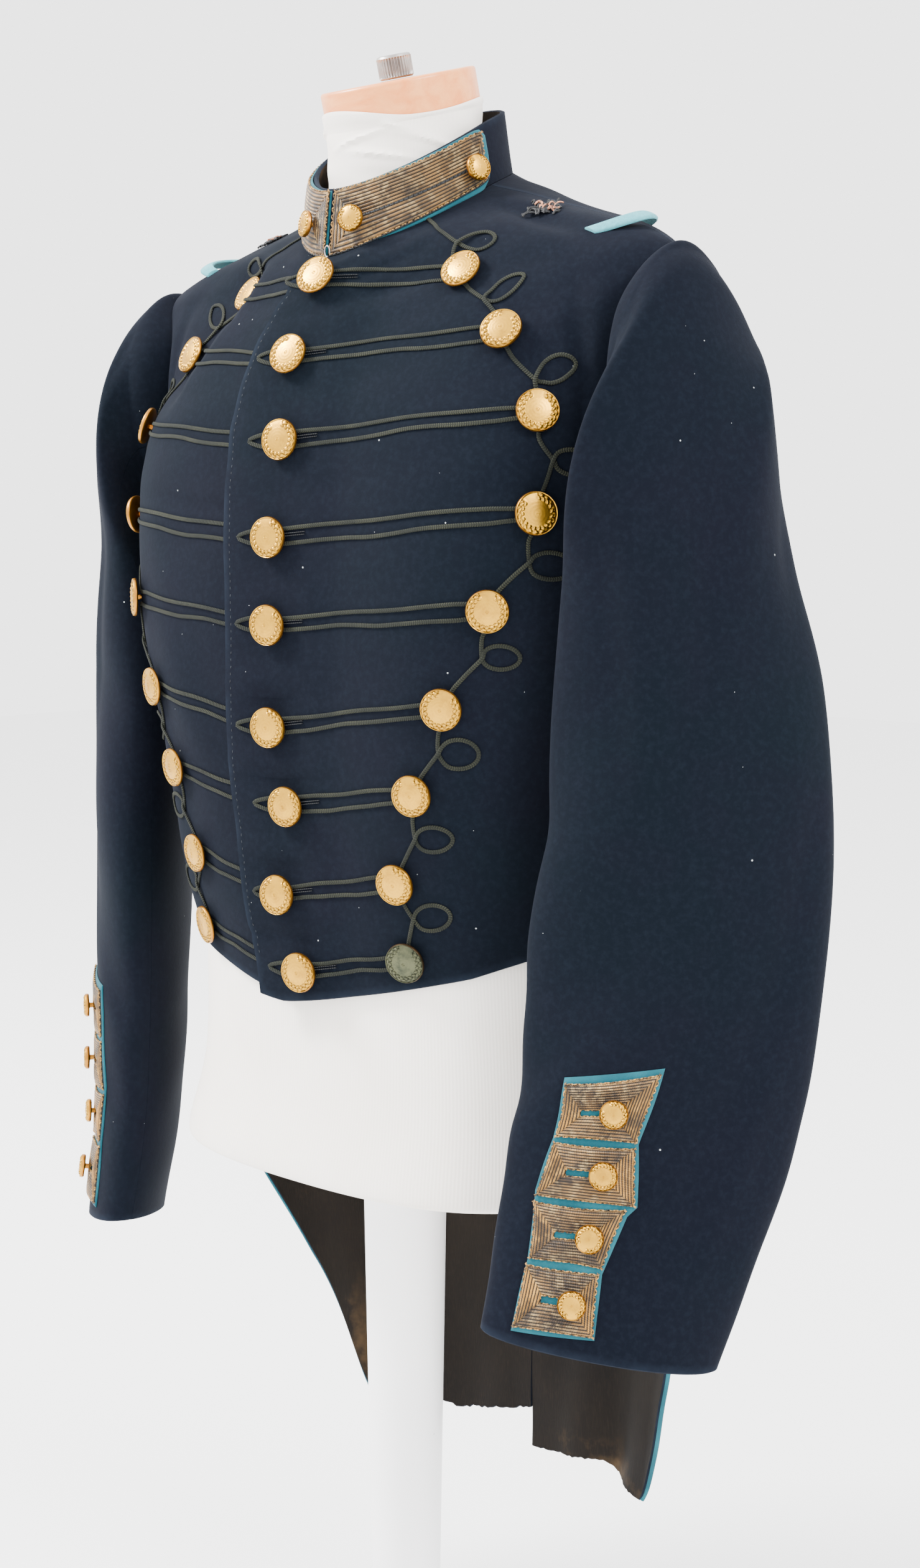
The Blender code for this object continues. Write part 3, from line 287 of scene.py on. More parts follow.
def table_at(table, place):
    """Rows of a table at fractional places, by a smooth curve through its rows."""
    last = len(table) - 1
    place = np.clip(np.asarray(place, float), 0.0, last)
    low = np.minimum(place.astype(int), last - 1)
    p0, p1, p2, p3 = (table[np.clip(low + k, 0, last)] for k in (-1, 0, 1, 2))
    return hermite(p1, p2, (p2 - p0) / 2, (p3 - p1) / 2, (place - low)[..., None])


def ring(rows, t):
    """Points of closed rings: t is 0 in front, 2 at the left side, 4 behind, below 0 on the right."""
    rows, t = np.broadcast_arrays(rows, np.asarray(t, float)[..., None])[0], np.asarray(t, float)
    side = np.where(t < 0, -1.0, 1.0)
    t = np.minimum(np.abs(t), 4.0)
    f, zf, xq, yq, zq, w, ys, zs, xr, yr, zr, b, zb = np.moveaxis(rows, -1, 0)
    nought = np.zeros_like(f)
    half = [(nought, -f, zf), (xq, -yq, zq), (w, ys, zs), (xr, yr, zr), (nought, b, zb)]
    half = [np.stack(p, -1) for p in half]
    flip = np.array((-1.0, 1.0, 1.0))
    points = np.stack([half[1] * flip] + half + [half[3] * flip], -2)
    low = np.minimum(t.astype(int), 3)
    p0, p1, p2, p3 = (np.take_along_axis(points, (low + k)[..., None, None], -2)[..., 0, :] for k in range(4))
    before, span, after = (np.linalg.norm(q - p, axis=-1, keepdims=True) for p, q in ((p0, p1), (p1, p2), (p2, p3)))
    slope_low = ((p2 - p1) * before / span + (p1 - p0) * span / before) / (before + span)
    slope_high = ((p3 - p2) * span / after + (p2 - p1) * after / span) / (span + after)
    point = hermite(p1, p2, slope_low * span, slope_high * span, (t - low)[..., None])
    return point * np.stack([side, np.ones_like(side), np.ones_like(side)], -1)


def body(t, row):
    t, row = np.broadcast_arrays(np.asarray(t, float), np.asarray(row, float))
    return ring(table_at(BODY_TABLE, row), t)


def normals(surface, a, b, top=NECK_ROW):
    """Outward unit normals of a surface of two coordinates, the second kept below top."""
    step = 0.004
    b = np.clip(b, step, top - step)
    across = surface(a + step, b) - surface(a - step, b)
    along = surface(a, b + step) - surface(a, b - step)
    return unit(np.cross(across, along))


def crease_height(t, row, side):
    """Soft creases and a faint unevenness, so that no two stretches of cloth hang alike."""
    total = 0.0008 * np.sin(5.1 * t + 1.7 * row) * np.sin(2.3 * row - 2.9 * t + 1.0)
    total = total + 0.0004 * np.sin(11.0 * t - 4.3 * row + 2.0) * np.sin(6.1 * row + 3.0 * t)
    for only, at_t, at_row, half_t, half_row, height, slant in COAT_CREASES:
        if only in (0, side):
            along = (row - at_row) / half_row
            across = (np.abs(t) - at_t - slant * (row - at_row)) / half_t
            total = total + height * np.exp(-along**2 - across**2)
    total = np.where(total < 0, -DEEPEST * np.tanh(-total / DEEPEST), total)
    by_armhole = np.hypot((np.abs(t) - ARMHOLE_T) / ARMHOLE_HALF_T, (row - ARMHOLE_ROW) / ARMHOLE_HALF_ROW)
    total = total * smooth_step((by_armhole - 1.0) / 0.25)
    return total * smooth_step((11.95 - row) / 0.6)


def shoulder_hollow(t, row):
    """The right front's fold: the cloth drops away behind it towards the armhole."""
    fold_t = 0.72 + 0.10 * (row - 9.0) ** 2 / 1.7
    past = np.maximum(np.abs(t) - fold_t, 0.0) / 0.17
    window = smooth_step((row - 8.1) / 0.7) * smooth_step((10.75 - row) / 0.6)
    by_armhole = np.hypot((np.abs(t) - ARMHOLE_T) / ARMHOLE_HALF_T, (row - ARMHOLE_ROW) / ARMHOLE_HALF_ROW)
    return -0.0095 * past * np.exp(1.0 - past) * window * smooth_step((by_armhole - 1.0) / 0.35)


def left_front(t, row):
    point = body(t, row)
    x = point[..., 0:1]
    row_in = np.asarray(row, float)[..., None]
    lift = LAP_LIFT * smooth_step((LAP_END_X - x) / (LAP_END_X - LAP_FULL_X))
    roll = ROLL_LIFT * smooth_step((ROLL_START - x) / (ROLL_START - ROLL_END))
    lift = lift + roll * smooth_step((NECK_ROW - row_in) / ROLL_FADE_ROWS)
    return point + normals(body, t, row) * (lift + crease_height(t, row, 1)[..., None])


def right_front(t, row):
    height = crease_height(t, row, -1) + shoulder_hollow(t, row)
    return body(t, row) + normals(body, t, row) * height[..., None]


def back(t, row):
    side = np.where(t > 0, 1.0, -1.0)
    low = smooth_step((HEM_ROW - row) / HEM_ROW)
    off_centre = smooth_step((4.0 - np.abs(t)) / 1.2)
    swing = np.where(side > 0, TAIL_SWING[1], TAIL_SWING[-1])
    pleat = np.exp(-((np.abs(t) - PLEAT_T) / PLEAT_HALF_T) ** 2)
    wave = 0.0022 * np.sin(13.0 * np.abs(t) + 1.3 * row + side) * smooth_step((4.0 - np.abs(t)) / 0.4)
    shift = low * (swing * off_centre + PLEAT_DEPTH * pleat + wave)
    out = body(t, row) + normals(body, t, row) * crease_height(t, row, 0)[..., None]
    return out + np.stack([np.zeros_like(shift), shift, np.zeros_like(shift)], -1)


def front(side):
    return left_front if side > 0 else right_front


def armhole(side, degrees):
    angle = np.radians(degrees)
    t = ARMHOLE_T - (ARMHOLE_HALF_T - ARMHOLE_SHRINK_T) * np.sin(angle)
    row = ARMHOLE_ROW + (ARMHOLE_HALF_ROW - ARMHOLE_SHRINK_ROW) * np.cos(angle)
    return body(t, row) * np.array([side, 1.0, 1.0])


def sleeve_ring(side, station, degrees):
    station, degrees = np.broadcast_arrays(np.asarray(station, float), np.asarray(degrees, float))
    x, yl, yr, zl, zr, tip, a, c, turn, droop = np.moveaxis(table_at(SLEEVE_TABLE, station), -1, 0)
    y, z = (yl, zl) if side > 0 else (yr, zr)
    angle, tip, turn = np.radians(degrees), np.radians(np.minimum(tip, 90.0)), np.radians(turn)
    face = np.stack([np.cos(turn) * np.sin(tip), -np.sin(turn) * np.sin(tip), np.cos(tip)], -1)
    ahead = np.stack([-np.sin(turn), -np.cos(turn), np.zeros_like(turn)], -1)
    point = (np.stack([x, y, z + droop * np.sin(angle)], -1)
             + face * (a * np.cos(angle))[..., None] + ahead * (c * np.sin(angle))[..., None])
    return point * np.array([side, 1.0, 1.0])


def sleeve_crease(station, degrees):
    total = 0.0006 * np.sin(np.radians(3 * degrees) + 2.1 * station) * np.sin(1.9 * station + 0.6)
    for at, middle, long, wide, height, slant in SLEEVE_CREASES:
        along = (station - at) / long
        around = (degrees - middle - slant * (station - at) + 180.0) % 360.0 - 180.0
        total = total + height * np.exp(-along**2 - (around / wide) ** 2)
    return total


def sleeve(side):
    """The outer face of a sleeve, as a surface of degrees round it and station along it."""
    def surface(degrees, station):
        degrees, station = np.broadcast_arrays(np.asarray(degrees, float), np.asarray(station, float))
        at = np.maximum(station, 0.0)
        point = sleeve_ring(side, at, degrees)
        centre = (sleeve_ring(side, at, degrees * 0) + sleeve_ring(side, at, degrees * 0 + 180)) / 2
        point = point + unit(point - centre) * sleeve_crease(at, degrees)[..., None]
        u = np.clip(station + 1.0, 0.0, 1.0)[..., None]
        fullness = unit(point - centre) * 0.0035 * np.sin(math.pi * u)
        return armhole(side, degrees) * (1 - u) + point * u + fullness
    return surface


def sleeve_normals(side, degrees, station):
    surface = sleeve(side)
    station = np.clip(station, -0.95, SLEEVE_LAST - 0.02)
    around = surface(degrees + 0.8, station) - surface(degrees - 0.8, station)
    along = surface(degrees, station + 0.02) - surface(degrees, station - 0.02)
    return unit(np.cross(around, along)) * side


def collar(t, height):
    t, height = np.broadcast_arrays(np.asarray(t, float), np.asarray(height, float))
    h = height[..., None]
    foot = body(t, np.full_like(t, NECK_ROW)) + np.array([0.0, 0.0, SEAM_GAP])
    return foot * (1 - h) + ring(COLLAR_TOP, t) * h


def collar_normals(t, height):
    across = collar(t + 0.01, height) - collar(t - 0.01, height)
    return unit(np.cross(across, collar(t, height * 0 + 1.0) - collar(t, height * 0)))


def seam_t(row):
    return ARMHOLE_T + SIDE_SEAM_SWEEP * smooth_step((ARMPIT_ROW - row) / (ARMPIT_ROW - HEM_ROW))


def armhole_half_t(row):
    return ARMHOLE_HALF_T * np.sqrt(np.maximum(1.0 - ((row - ARMHOLE_ROW) / ARMHOLE_HALF_ROW) ** 2, 0.0))


def t_gap(row):
    here = np.linalg.norm(body(2.1, row) - body(2.0, row), axis=-1) / 0.1
    return SEAM_GAP / 2.0 / here


def t_at_x(x, row):
    low, high = np.full_like(row, -1.0), np.full_like(row, 1.0)
    for _ in range(26):
        middle = (low + high) / 2.0
        less = body(middle, row)[..., 0] < x
        low, high = np.where(less, middle, low), np.where(less, high, middle)
    return (low + high) / 2.0


def hem_shift(row, t):
    """Raises the lower rows of a front so that its hem slants up towards the side."""
    rise = FRONT_HEM_RISE * (np.abs(t) / 2.0) ** FRONT_HEM_POWER
    return np.where(row < ARMPIT_ROW, row + rise * (ARMPIT_ROW - row) / (ARMPIT_ROW - HEM_ROW), row)


def left_edge_x(row):
    return np.interp(row, LEFT_EDGE_ROWS, LEFT_EDGE_X)


def on_front(side, x, z):
    """Points and normals of a front at x and z, by Newton steps on the whole array."""
    surface = front(side)
    x, z = np.asarray(x, float), np.asarray(z, float)
    t, row = 8.0 * x, 6.0 + (z - 0.68) / 0.055
    step = 0.002
    for _ in range(14):
        row = np.clip(row, 3.01, 11.98)
        here = surface(t, row)
        by_t = (surface(t + step, row) - here) / step
        by_row = (surface(t, row + step) - here) / step
        det = by_t[..., 0] * by_row[..., 2] - by_row[..., 0] * by_t[..., 2]
        dx, dz = x - here[..., 0], z - here[..., 2]
        t = t + np.clip((dx * by_row[..., 2] - by_row[..., 0] * dz) / det, -0.4, 0.4)
        row = row + np.clip((by_t[..., 0] * dz - dx * by_t[..., 2]) / det, -0.8, 0.8)
    row = np.clip(row, 3.01, 11.98)
    return surface(t, row), normals(surface, t, row)


# Materials

def colour(code):
    """An sRGB hex colour as linear RGBA."""
    parts = [int(code[k:k + 2], 16) / 255.0 for k in (1, 3, 5)]
    return tuple(c / 12.92 if c <= 0.04045 else ((c + 0.055) / 1.055) ** 2.4 for c in parts) + (1.0,)


def add(tree, kind, settings=None, links=None):
    """Adds a node with its settings; links maps an input to a value or to another output."""
    made = tree.nodes.new(kind)
    for key, value in (settings or {}).items():
        setattr(made, key, value)
    for socket, source in (links or {}).items():
        if isinstance(source, bpy.types.NodeSocket):
            tree.links.new(source, made.inputs[socket])
        else:
            made.inputs[socket].default_value = source
    return made


def ramp(tree, source, stops):
    made = add(tree, "ShaderNodeValToRGB", links={"Fac": source})
    while len(made.color_ramp.elements) < len(stops):
        made.color_ramp.elements.new(0.5)
    for element, (place, value) in zip(made.color_ramp.elements, stops):
        element.position = place
        element.color = colour(value) if isinstance(value, str) else (value, value, value, 1.0)
    return made.outputs["Color"]


def mixed(tree, factor, first, second, how="MIX"):
    made = add(tree, "ShaderNodeMix", {"data_type": "RGBA", "blend_type": how},
               {0: factor, 6: first, 7: second})
    return made.outputs[2]


def maths(tree, operation, first, second=0.0):
    return add(tree, "ShaderNodeMath", {"operation": operation}, {0: first, 1: second}).outputs[0]


def noise(tree, where, size_mm, detail=3.0, roughness=0.5, distortion=0.0):
    """A noise whose blobs are about size_mm across on coordinates in metres."""
    return add(tree, "ShaderNodeTexNoise", links={
        "Vector": where, "Scale": 500.0 / size_mm, "Detail": detail, "Roughness": roughness,
        "Distortion": distortion}).outputs["Fac"]


def new_material(name, **sockets):
    material = bpy.data.materials.new(name)
    material.use_nodes = True
    tree = material.node_tree
    shader = tree.nodes["Principled BSDF"]
    for socket, value in sockets.items():
        shader.inputs[socket.replace("_", " ")].default_value = value
    where = add(tree, "ShaderNodeTexCoord").outputs["Object"]
    return material, tree, shader, where


def bump(tree, shader, height, distance, strength=1.0):
    made = add(tree, "ShaderNodeBump", links={"Height": height, "Distance": distance, "Strength": strength})
    tree.links.new(made.outputs["Normal"], shader.inputs["Normal"])
    return made


def lint(tree, where, spacing_mm, share):
    """Bright specks, one in a share of the cells of a scattered pattern."""
    cells = add(tree, "ShaderNodeTexVoronoi", links={"Vector": where, "Scale": 1000.0 / spacing_mm})
    near = maths(tree, "LESS_THAN", cells.outputs["Distance"], 0.040)
    picked = add(tree, "ShaderNodeSeparateColor", links={"Color": cells.outputs["Color"]}).outputs[0]
    return maths(tree, "MULTIPLY", near, maths(tree, "LESS_THAN", picked, share))


def wool_material(name, deep, green, violet, pale):
    """Milled and napped wool: no weave shows, only a soft fibrous nap with faded patches,
    lint and paler rubbed edges, and a slight sheen at a low angle."""
    material, tree, shader, where = new_material(
        name, Roughness=0.95, Sheen_Weight=0.03, Sheen_Roughness=0.5, Specular_IOR_Level=0.07)
    shader.inputs["Sheen Tint"].default_value = colour("#8b94ad")
    patches = ramp(tree, noise(tree, where, 120, 3), ((0.40, 0.0), (0.62, 1.0)))
    base = mixed(tree, patches, colour(deep), colour(green))
    shade = ramp(tree, noise(tree, where, 55, 4, 0.6), ((0.45, 0.0), (0.70, 1.0)))
    base = mixed(tree, shade, base, colour(violet))
    nap = noise(tree, where, 1.6, 5, 0.7)
    base = mixed(tree, maths(tree, "MULTIPLY", ramp(tree, nap, ((0.45, 0.0), (0.8, 1.0))), 0.22), base, colour(pale))
    edge = add(tree, "ShaderNodeAttribute", {"attribute_name": "edge"}).outputs["Fac"]
    rubbed = add(tree, "ShaderNodeMapRange", links={"Value": edge, 1: 0.0, 2: 0.0045, 3: 0.60, 4: 0.0}).outputs[0]
    rubbed = maths(tree, "MULTIPLY", rubbed, ramp(tree, noise(tree, where, 9, 3), ((0.3, 0.2), (0.7, 1.0))))
    base = mixed(tree, rubbed, base, colour(pale))
    specks = maths(tree, "MAXIMUM", lint(tree, where, 12, 0.12), lint(tree, where, 5, 0.05))
    base = mixed(tree, maths(tree, "MULTIPLY", specks, 0.75), base, colour("#b9bfc0"))
    tree.links.new(base, shader.inputs["Base Color"])
    fibres = mixed(tree, 0.5, nap, noise(tree, where, 7, 4, 0.6))
    bump(tree, shader, fibres, 0.0005, 0.55)
    return material


def lining_material():
    """Cotton sateen lining: a brown-black plain weave, rubbed paler on folds, with rust and
    tan stains near the tails' edges."""
    material, tree, shader, where = new_material("cotton_sateen_lining", Roughness=0.8, Specular_IOR_Level=0.12)
    base = mixed(tree, ramp(tree, noise(tree, where, 70, 4, 0.6), ((0.35, 0.0), (0.7, 1.0))),
                 colour("#0f0c0a"), colour("#1a1510"))
    threads = add(tree, "ShaderNodeTexNoise", links={
        "Vector": add(tree, "ShaderNodeMapping", links={"Vector": where, "Scale": (1500.0, 1500.0, 160.0)}).outputs[0],
        "Scale": 1.0, "Detail": 2.0}).outputs["Fac"]
    base = mixed(tree, maths(tree, "MULTIPLY", ramp(tree, threads, ((0.5, 0.0), (0.75, 1.0))), 0.18), base, colour("#332a20"))
    edge = add(tree, "ShaderNodeAttribute", {"attribute_name": "edge"}).outputs["Fac"]
    near = add(tree, "ShaderNodeMapRange", links={"Value": edge, 1: 0.004, 2: 0.026, 3: 1.0, 4: 0.0}).outputs[0]
    stain = maths(tree, "MULTIPLY", near, ramp(tree, noise(tree, where, 26, 5, 0.65), ((0.55, 0.0), (0.72, 1.0))))
    base = mixed(tree, maths(tree, "MULTIPLY", stain, 0.55), base, colour("#59452c"))
    tree.links.new(base, shader.inputs["Base Color"])
    bump(tree, shader, mixed(tree, 0.5, threads, noise(tree, where, 18, 4)), 0.0008, 0.5)
    return material


def teal_material(name, deep, faded):
    """Teal wool facing: a fine felted cloth, faded and slightly worn along its folds."""
    material, tree, shader, where = new_material(name, Roughness=0.9, Sheen_Weight=0.06, Specular_IOR_Level=0.15)
    base = mixed(tree, ramp(tree, noise(tree, where, 16, 4, 0.6), ((0.4, 0.0), (0.7, 1.0))), colour(deep), colour(faded))
    nap = noise(tree, where, 1.0, 4, 0.7)
    base = mixed(tree, maths(tree, "MULTIPLY", ramp(tree, nap, ((0.4, 0.0), (0.75, 1.0))), 0.35), base, colour("#123f46"))
    tree.links.new(base, shader.inputs["Base Color"])
    bump(tree, shader, nap, 0.0004, 0.7)
    return material


def lace_material(name="tarnished_gold_lace", brown="#35271a", gold="#8f6a38", bright="#c4a56f"):
    """Woven gold lace, tarnished: metal-wrapped ribs with a dark ground between them, painted near black as shade
    in the grooves, brown patches, small bright spots painted in as glints, and a fine weft. UV is along, in metres, and
    across, in ribs."""
    material, tree, shader, where = new_material(name, Metallic=0.3, Roughness=0.5)
    uv = add(tree, "ShaderNodeSeparateXYZ", links={0: add(tree, "ShaderNodeUVMap", {"uv_map": "UVMap"}).outputs[0]})
    rib = maths(tree, "ADD", maths(tree, "MULTIPLY", maths(tree, "COSINE", maths(tree, "MULTIPLY", uv.outputs[1], 2 * math.pi)), -0.5), 0.5)
    weft = maths(tree, "ADD", maths(tree, "MULTIPLY", maths(tree, "SINE", maths(tree, "MULTIPLY", uv.outputs[0], 2 * math.pi / 0.0009)), 0.5), 0.5)
    metal = mixed(tree, ramp(tree, noise(tree, where, 9, 4, 0.7), ((0.40, 0.0), (0.60, 1.0))), colour(brown), colour(gold))
    # Painted highlight: small bright spots that stand in for glints on the metal
    metal = mixed(tree, ramp(tree, noise(tree, where, 3, 3, 0.7), ((0.50, 0.0), (0.70, 0.8))), metal, colour(bright))
    metal = mixed(tree, ramp(tree, noise(tree, where, 16, 3, 0.6), ((0.50, 0.0), (0.66, 0.75))), metal, colour("#3d3022"))
    metal = mixed(tree, maths(tree, "MULTIPLY", weft, 0.35), metal, colour("#2b2117"))
    # Painted shade: the grooves between the ribs go near black, over a dark ground
    base = mixed(tree, ramp(tree, rib, ((0.10, 0.0), (0.62, 1.0))), colour("#15110d"), metal)
    tree.links.new(base, shader.inputs["Base Color"])
    bump(tree, shader, weft, 0.0003, 0.7)
    return material


def braid_material():
    """Flat worsted braid: plaited in a herringbone, olive with paler worn threads, and shade painted darker into its
    furrows and middle groove.
    """
    material, tree, shader, where = new_material("worsted_herringbone_braid", Roughness=0.88, Specular_IOR_Level=0.25)
    uv = add(tree, "ShaderNodeSeparateXYZ", links={0: add(tree, "ShaderNodeUVMap", {"uv_map": "UVMap"}).outputs[0]})
    along, across = uv.outputs[0], maths(tree, "ABSOLUTE", uv.outputs[1])
    phase = maths(tree, "ADD", maths(tree, "MULTIPLY", along, 2 * math.pi / 0.0013), maths(tree, "MULTIPLY", across, 2.6))
    plait = maths(tree, "ADD", maths(tree, "MULTIPLY", maths(tree, "SINE", phase), 0.5), 0.5)
    groove = ramp(tree, across, ((0.0, 0.0), (0.16, 1.0)))
    height = maths(tree, "MULTIPLY", plait, groove)
    worn = ramp(tree, noise(tree, where, 9, 3), ((0.40, 0.0), (0.66, 1.0)))
    light = mixed(tree, worn, colour("#181c14"), colour("#2d2f22"))
    # Painted shade: the colour goes near black where the plait's bump is low, in its furrows and down the middle groove
    base = mixed(tree, ramp(tree, height, ((0.15, 0.0), (0.8, 1.0))), colour("#10130e"), light)
    tree.links.new(base, shader.inputs["Base Color"])
    bump(tree, shader, height, 0.0006, 0.9)
    return material


def thread_material(name, dark, light):
    """Twisted thread, with light and dark turns."""
    material, tree, shader, where = new_material(name, Roughness=0.7, Metallic=0.1)
    base = mixed(tree, ramp(tree, noise(tree, where, 1.6, 3, 0.7), ((0.4, 0.0), (0.6, 1.0))), colour(dark), colour(light))
    tree.links.new(base, shader.inputs["Base Color"])
    return material


def gilt_material(name="gilt_brass", field="#c8972e", rim="#a8702a", hollow="#3f260d", dull="#a87b28"):
    """Stamped gilt brass: bright high spots, browner lines of grime and painted shade at the foot of
    the relief, and copper showing through on the rim. UV is the share of the radius, and the grime and shade."""
    material, tree, shader, where = new_material(name, Metallic=1.0, Roughness=0.33)
    uv = add(tree, "ShaderNodeSeparateXYZ", links={0: add(tree, "ShaderNodeUVMap", {"uv_map": "UVMap"}).outputs[0]})
    base = mixed(tree, ramp(tree, noise(tree, where, 4, 4, 0.7), ((0.48, 0.0), (0.72, 0.8))), colour(field), colour(dull))
    # Darker at the foot of the relief, in the low stipple and along a ring inside the rim: partly grime, partly painted
    # shade
    base = mixed(tree, ramp(tree, uv.outputs[1], ((0.10, 0.0), (0.85, 0.95))), base, colour(hollow))
    edge = ramp(tree, maths(tree, "ADD", uv.outputs[0], maths(tree, "MULTIPLY", maths(tree, "SUBTRACT", noise(tree, where, 4, 3), 0.5), 0.06)),
                ((0.955, 0.0), (0.99, 1.0)))
    base = mixed(tree, edge, base, colour(rim))
    tree.links.new(base, shader.inputs["Base Color"])
    tree.links.new(add(tree, "ShaderNodeMapRange", links={"Value": noise(tree, where, 2.5, 3), 3: 0.28, 4: 0.45}).outputs[0],
                   shader.inputs["Roughness"])
    bump(tree, shader, noise(tree, where, 0.8, 3, 0.7), 0.0001, 0.5)
    return material


def jersey_material():
    """Cream cotton jersey: fine vertical knit ribs, soft and matte."""
    material, tree, shader, where = new_material("cotton_jersey", Roughness=0.95, Sheen_Weight=0.15, Specular_IOR_Level=0.2)
    uv = add(tree, "ShaderNodeSeparateXYZ", links={0: add(tree, "ShaderNodeUVMap", {"uv_map": "UVMap"}).outputs[0]})
    ribs = maths(tree, "ADD", maths(tree, "MULTIPLY", maths(tree, "SINE", maths(tree, "MULTIPLY", uv.outputs[0], 2 * math.pi / 0.0016)), 0.5), 0.5)
    base = mixed(tree, ramp(tree, noise(tree, where, 60, 4), ((0.35, 0.0), (0.7, 1.0))), colour("#f3eee7"), colour("#e9e1d7"))
    base = mixed(tree, maths(tree, "MULTIPLY", ribs, 0.10), base, colour("#cfc6bb"))
    tree.links.new(base, shader.inputs["Base Color"])
    bump(tree, shader, mixed(tree, 0.5, ribs, noise(tree, where, 2.0, 3)), 0.00025, 0.5)
    return material


def wood_material():
    """Varnished pale beech: a warm peach with faint growth rings and short flecks."""
    material, tree, shader, where = new_material("varnished_beech", Roughness=0.42, Coat_Weight=0.35, Coat_Roughness=0.2)
    grain = add(tree, "ShaderNodeMapping", links={"Vector": where, "Scale": (1.0, 9.0, 9.0)}).outputs[0]
    rings = noise(tree, grain, 40, 4, 0.6, 0.6)
    base = mixed(tree, ramp(tree, rings, ((0.35, 0.0), (0.65, 1.0))), colour("#e08033"), colour("#ea9650"))
    flecks = noise(tree, add(tree, "ShaderNodeMapping", links={"Vector": where, "Scale": (3.0, 30.0, 30.0)}).outputs[0], 14, 3)
    base = mixed(tree, ramp(tree, flecks, ((0.62, 0.0), (0.75, 0.5))), base, colour("#c97f43"))
    tree.links.new(base, shader.inputs["Base Color"])
    bump(tree, shader, flecks, 0.0002, 0.2)
    return material


def steel_material():
    """Plated steel, turned: light grey with fine marks."""
    material, tree, shader, where = new_material("plated_steel", Metallic=0.85, Roughness=0.38)
    base = mixed(tree, ramp(tree, noise(tree, where, 6, 3), ((0.4, 0.0), (0.7, 1.0))), colour("#8f8a87"), colour("#b5b1ad"))
    tree.links.new(base, shader.inputs["Base Color"])
    bump(tree, shader, noise(tree, where, 0.7, 2), 0.00008, 0.5)
    return material


def paint_material():
    """White stove enamel on steel: smooth, with a very slight orange peel and scuffs."""
    material, tree, shader, where = new_material("white_stove_enamel", Roughness=0.38, Coat_Weight=0.2, Coat_Roughness=0.25)
    base = mixed(tree, ramp(tree, noise(tree, where, 90, 4), ((0.4, 0.0), (0.7, 1.0))), colour("#f4f3f3"), colour("#e9e8ea"))
    base = mixed(tree, maths(tree, "MULTIPLY", lint(tree, where, 22, 0.3), 0.4), base, colour("#b9b7b4"))
    tree.links.new(base, shader.inputs["Base Color"])
    bump(tree, shader, noise(tree, where, 3, 2), 0.00006, 0.5)
    return material


NAVY = wool_material("milled_navy_broadcloth", "#070a13", "#060c13", "#090b14", "#1b222d")
LINING = lining_material()
TEAL = teal_material("teal_wool_facing", "#0f4550", "#1b5b66")
PALE_TEAL = teal_material("faded_teal_facing", "#4d949e", "#6db1b6")
LACE = lace_material()
# A lit copy of the same lace: its colours are painted brighter and more golden for the plates' end strips, whose ribs
# run the other way and catch more light
LACE_PAINTED_LIT = lace_material("gold_lace_painted_lit", "#523814", "#b07d2c", "#d9a44c")
BRAID = braid_material()
GOLD_THREAD = thread_material("gold_edging_thread", "#2b1f12", "#a97f40")
DARK_THREAD = thread_material("black_buttonhole_thread", "#07080a", "#121519")
COPPER_THREAD = thread_material("copper_core_thread", "#5a3a2c", "#c98a68")
NAVY_THREAD = thread_material("navy_sewing_thread", "#0c1015", "#1c242c")
GILT = gilt_material()
GILT_DARK = gilt_material("tarnished_gilt_brass", "#4d4f3c", "#5c4630", "#1c1d17", "#2b3029")
JERSEY = jersey_material()
BEECH = wood_material()
STEEL = steel_material()
ENAMEL = paint_material()


# Mesh makers

def make_piece(name, points, faces, materials, indices=None, uvs=None, edge=None, sharp=50.0):
    """A mesh object at the origin from points, faces, a material per face and a UV per point."""
    mesh = bpy.data.meshes.new(name)
    mesh.from_pydata([tuple(p) for p in np.asarray(points, float)], [], faces)
    if edge is not None:
        mesh.attributes.new("edge", "FLOAT", "POINT").data.foreach_set("value", np.asarray(edge, float))
    if uvs is not None:
        layer = mesh.uv_layers.new(name="UVMap")
        order = np.empty(len(mesh.loops), dtype=np.int32)
        mesh.loops.foreach_get("vertex_index", order)
        layer.data.foreach_set("uv", np.asarray(uvs, float)[order].ravel())
    for material in materials:
        mesh.materials.append(material)
    if indices is not None:
        mesh.polygons.foreach_set("material_index", np.asarray(indices, dtype=np.int32))
    tidy = bmesh.new()
    tidy.from_mesh(mesh)
    bmesh.ops.recalc_face_normals(tidy, faces=tidy.faces[:])
    tidy.to_mesh(mesh)
    tidy.free()
    mesh.shade_smooth()
    mesh.set_sharp_from_angle(angle=math.radians(sharp))
    made = bpy.data.objects.new(name, mesh)
    bpy.context.scene.collection.objects.link(made)
    return made


def border(rows, cols):
    """The border of a grid as (row, column, row inside, column inside), in order round it."""
    run = [(0, c, 1, c) for c in range(cols)]
    run += [(r, cols - 1, r, cols - 2) for r in range(1, rows)]
    run += [(rows - 1, c, rows - 2, c) for c in range(cols - 2, -1, -1)]
    run += [(r, 0, r, 1) for r in range(rows - 2, 0, -1)]
    return np.array(run)


def lengths(grid, axis):
    steps = np.linalg.norm(np.diff(grid, axis=axis), axis=-1)
    pad = [(0, 0), (0, 0)]
    pad[axis] = (1, 0)
    return np.cumsum(np.pad(steps, pad), axis=axis)


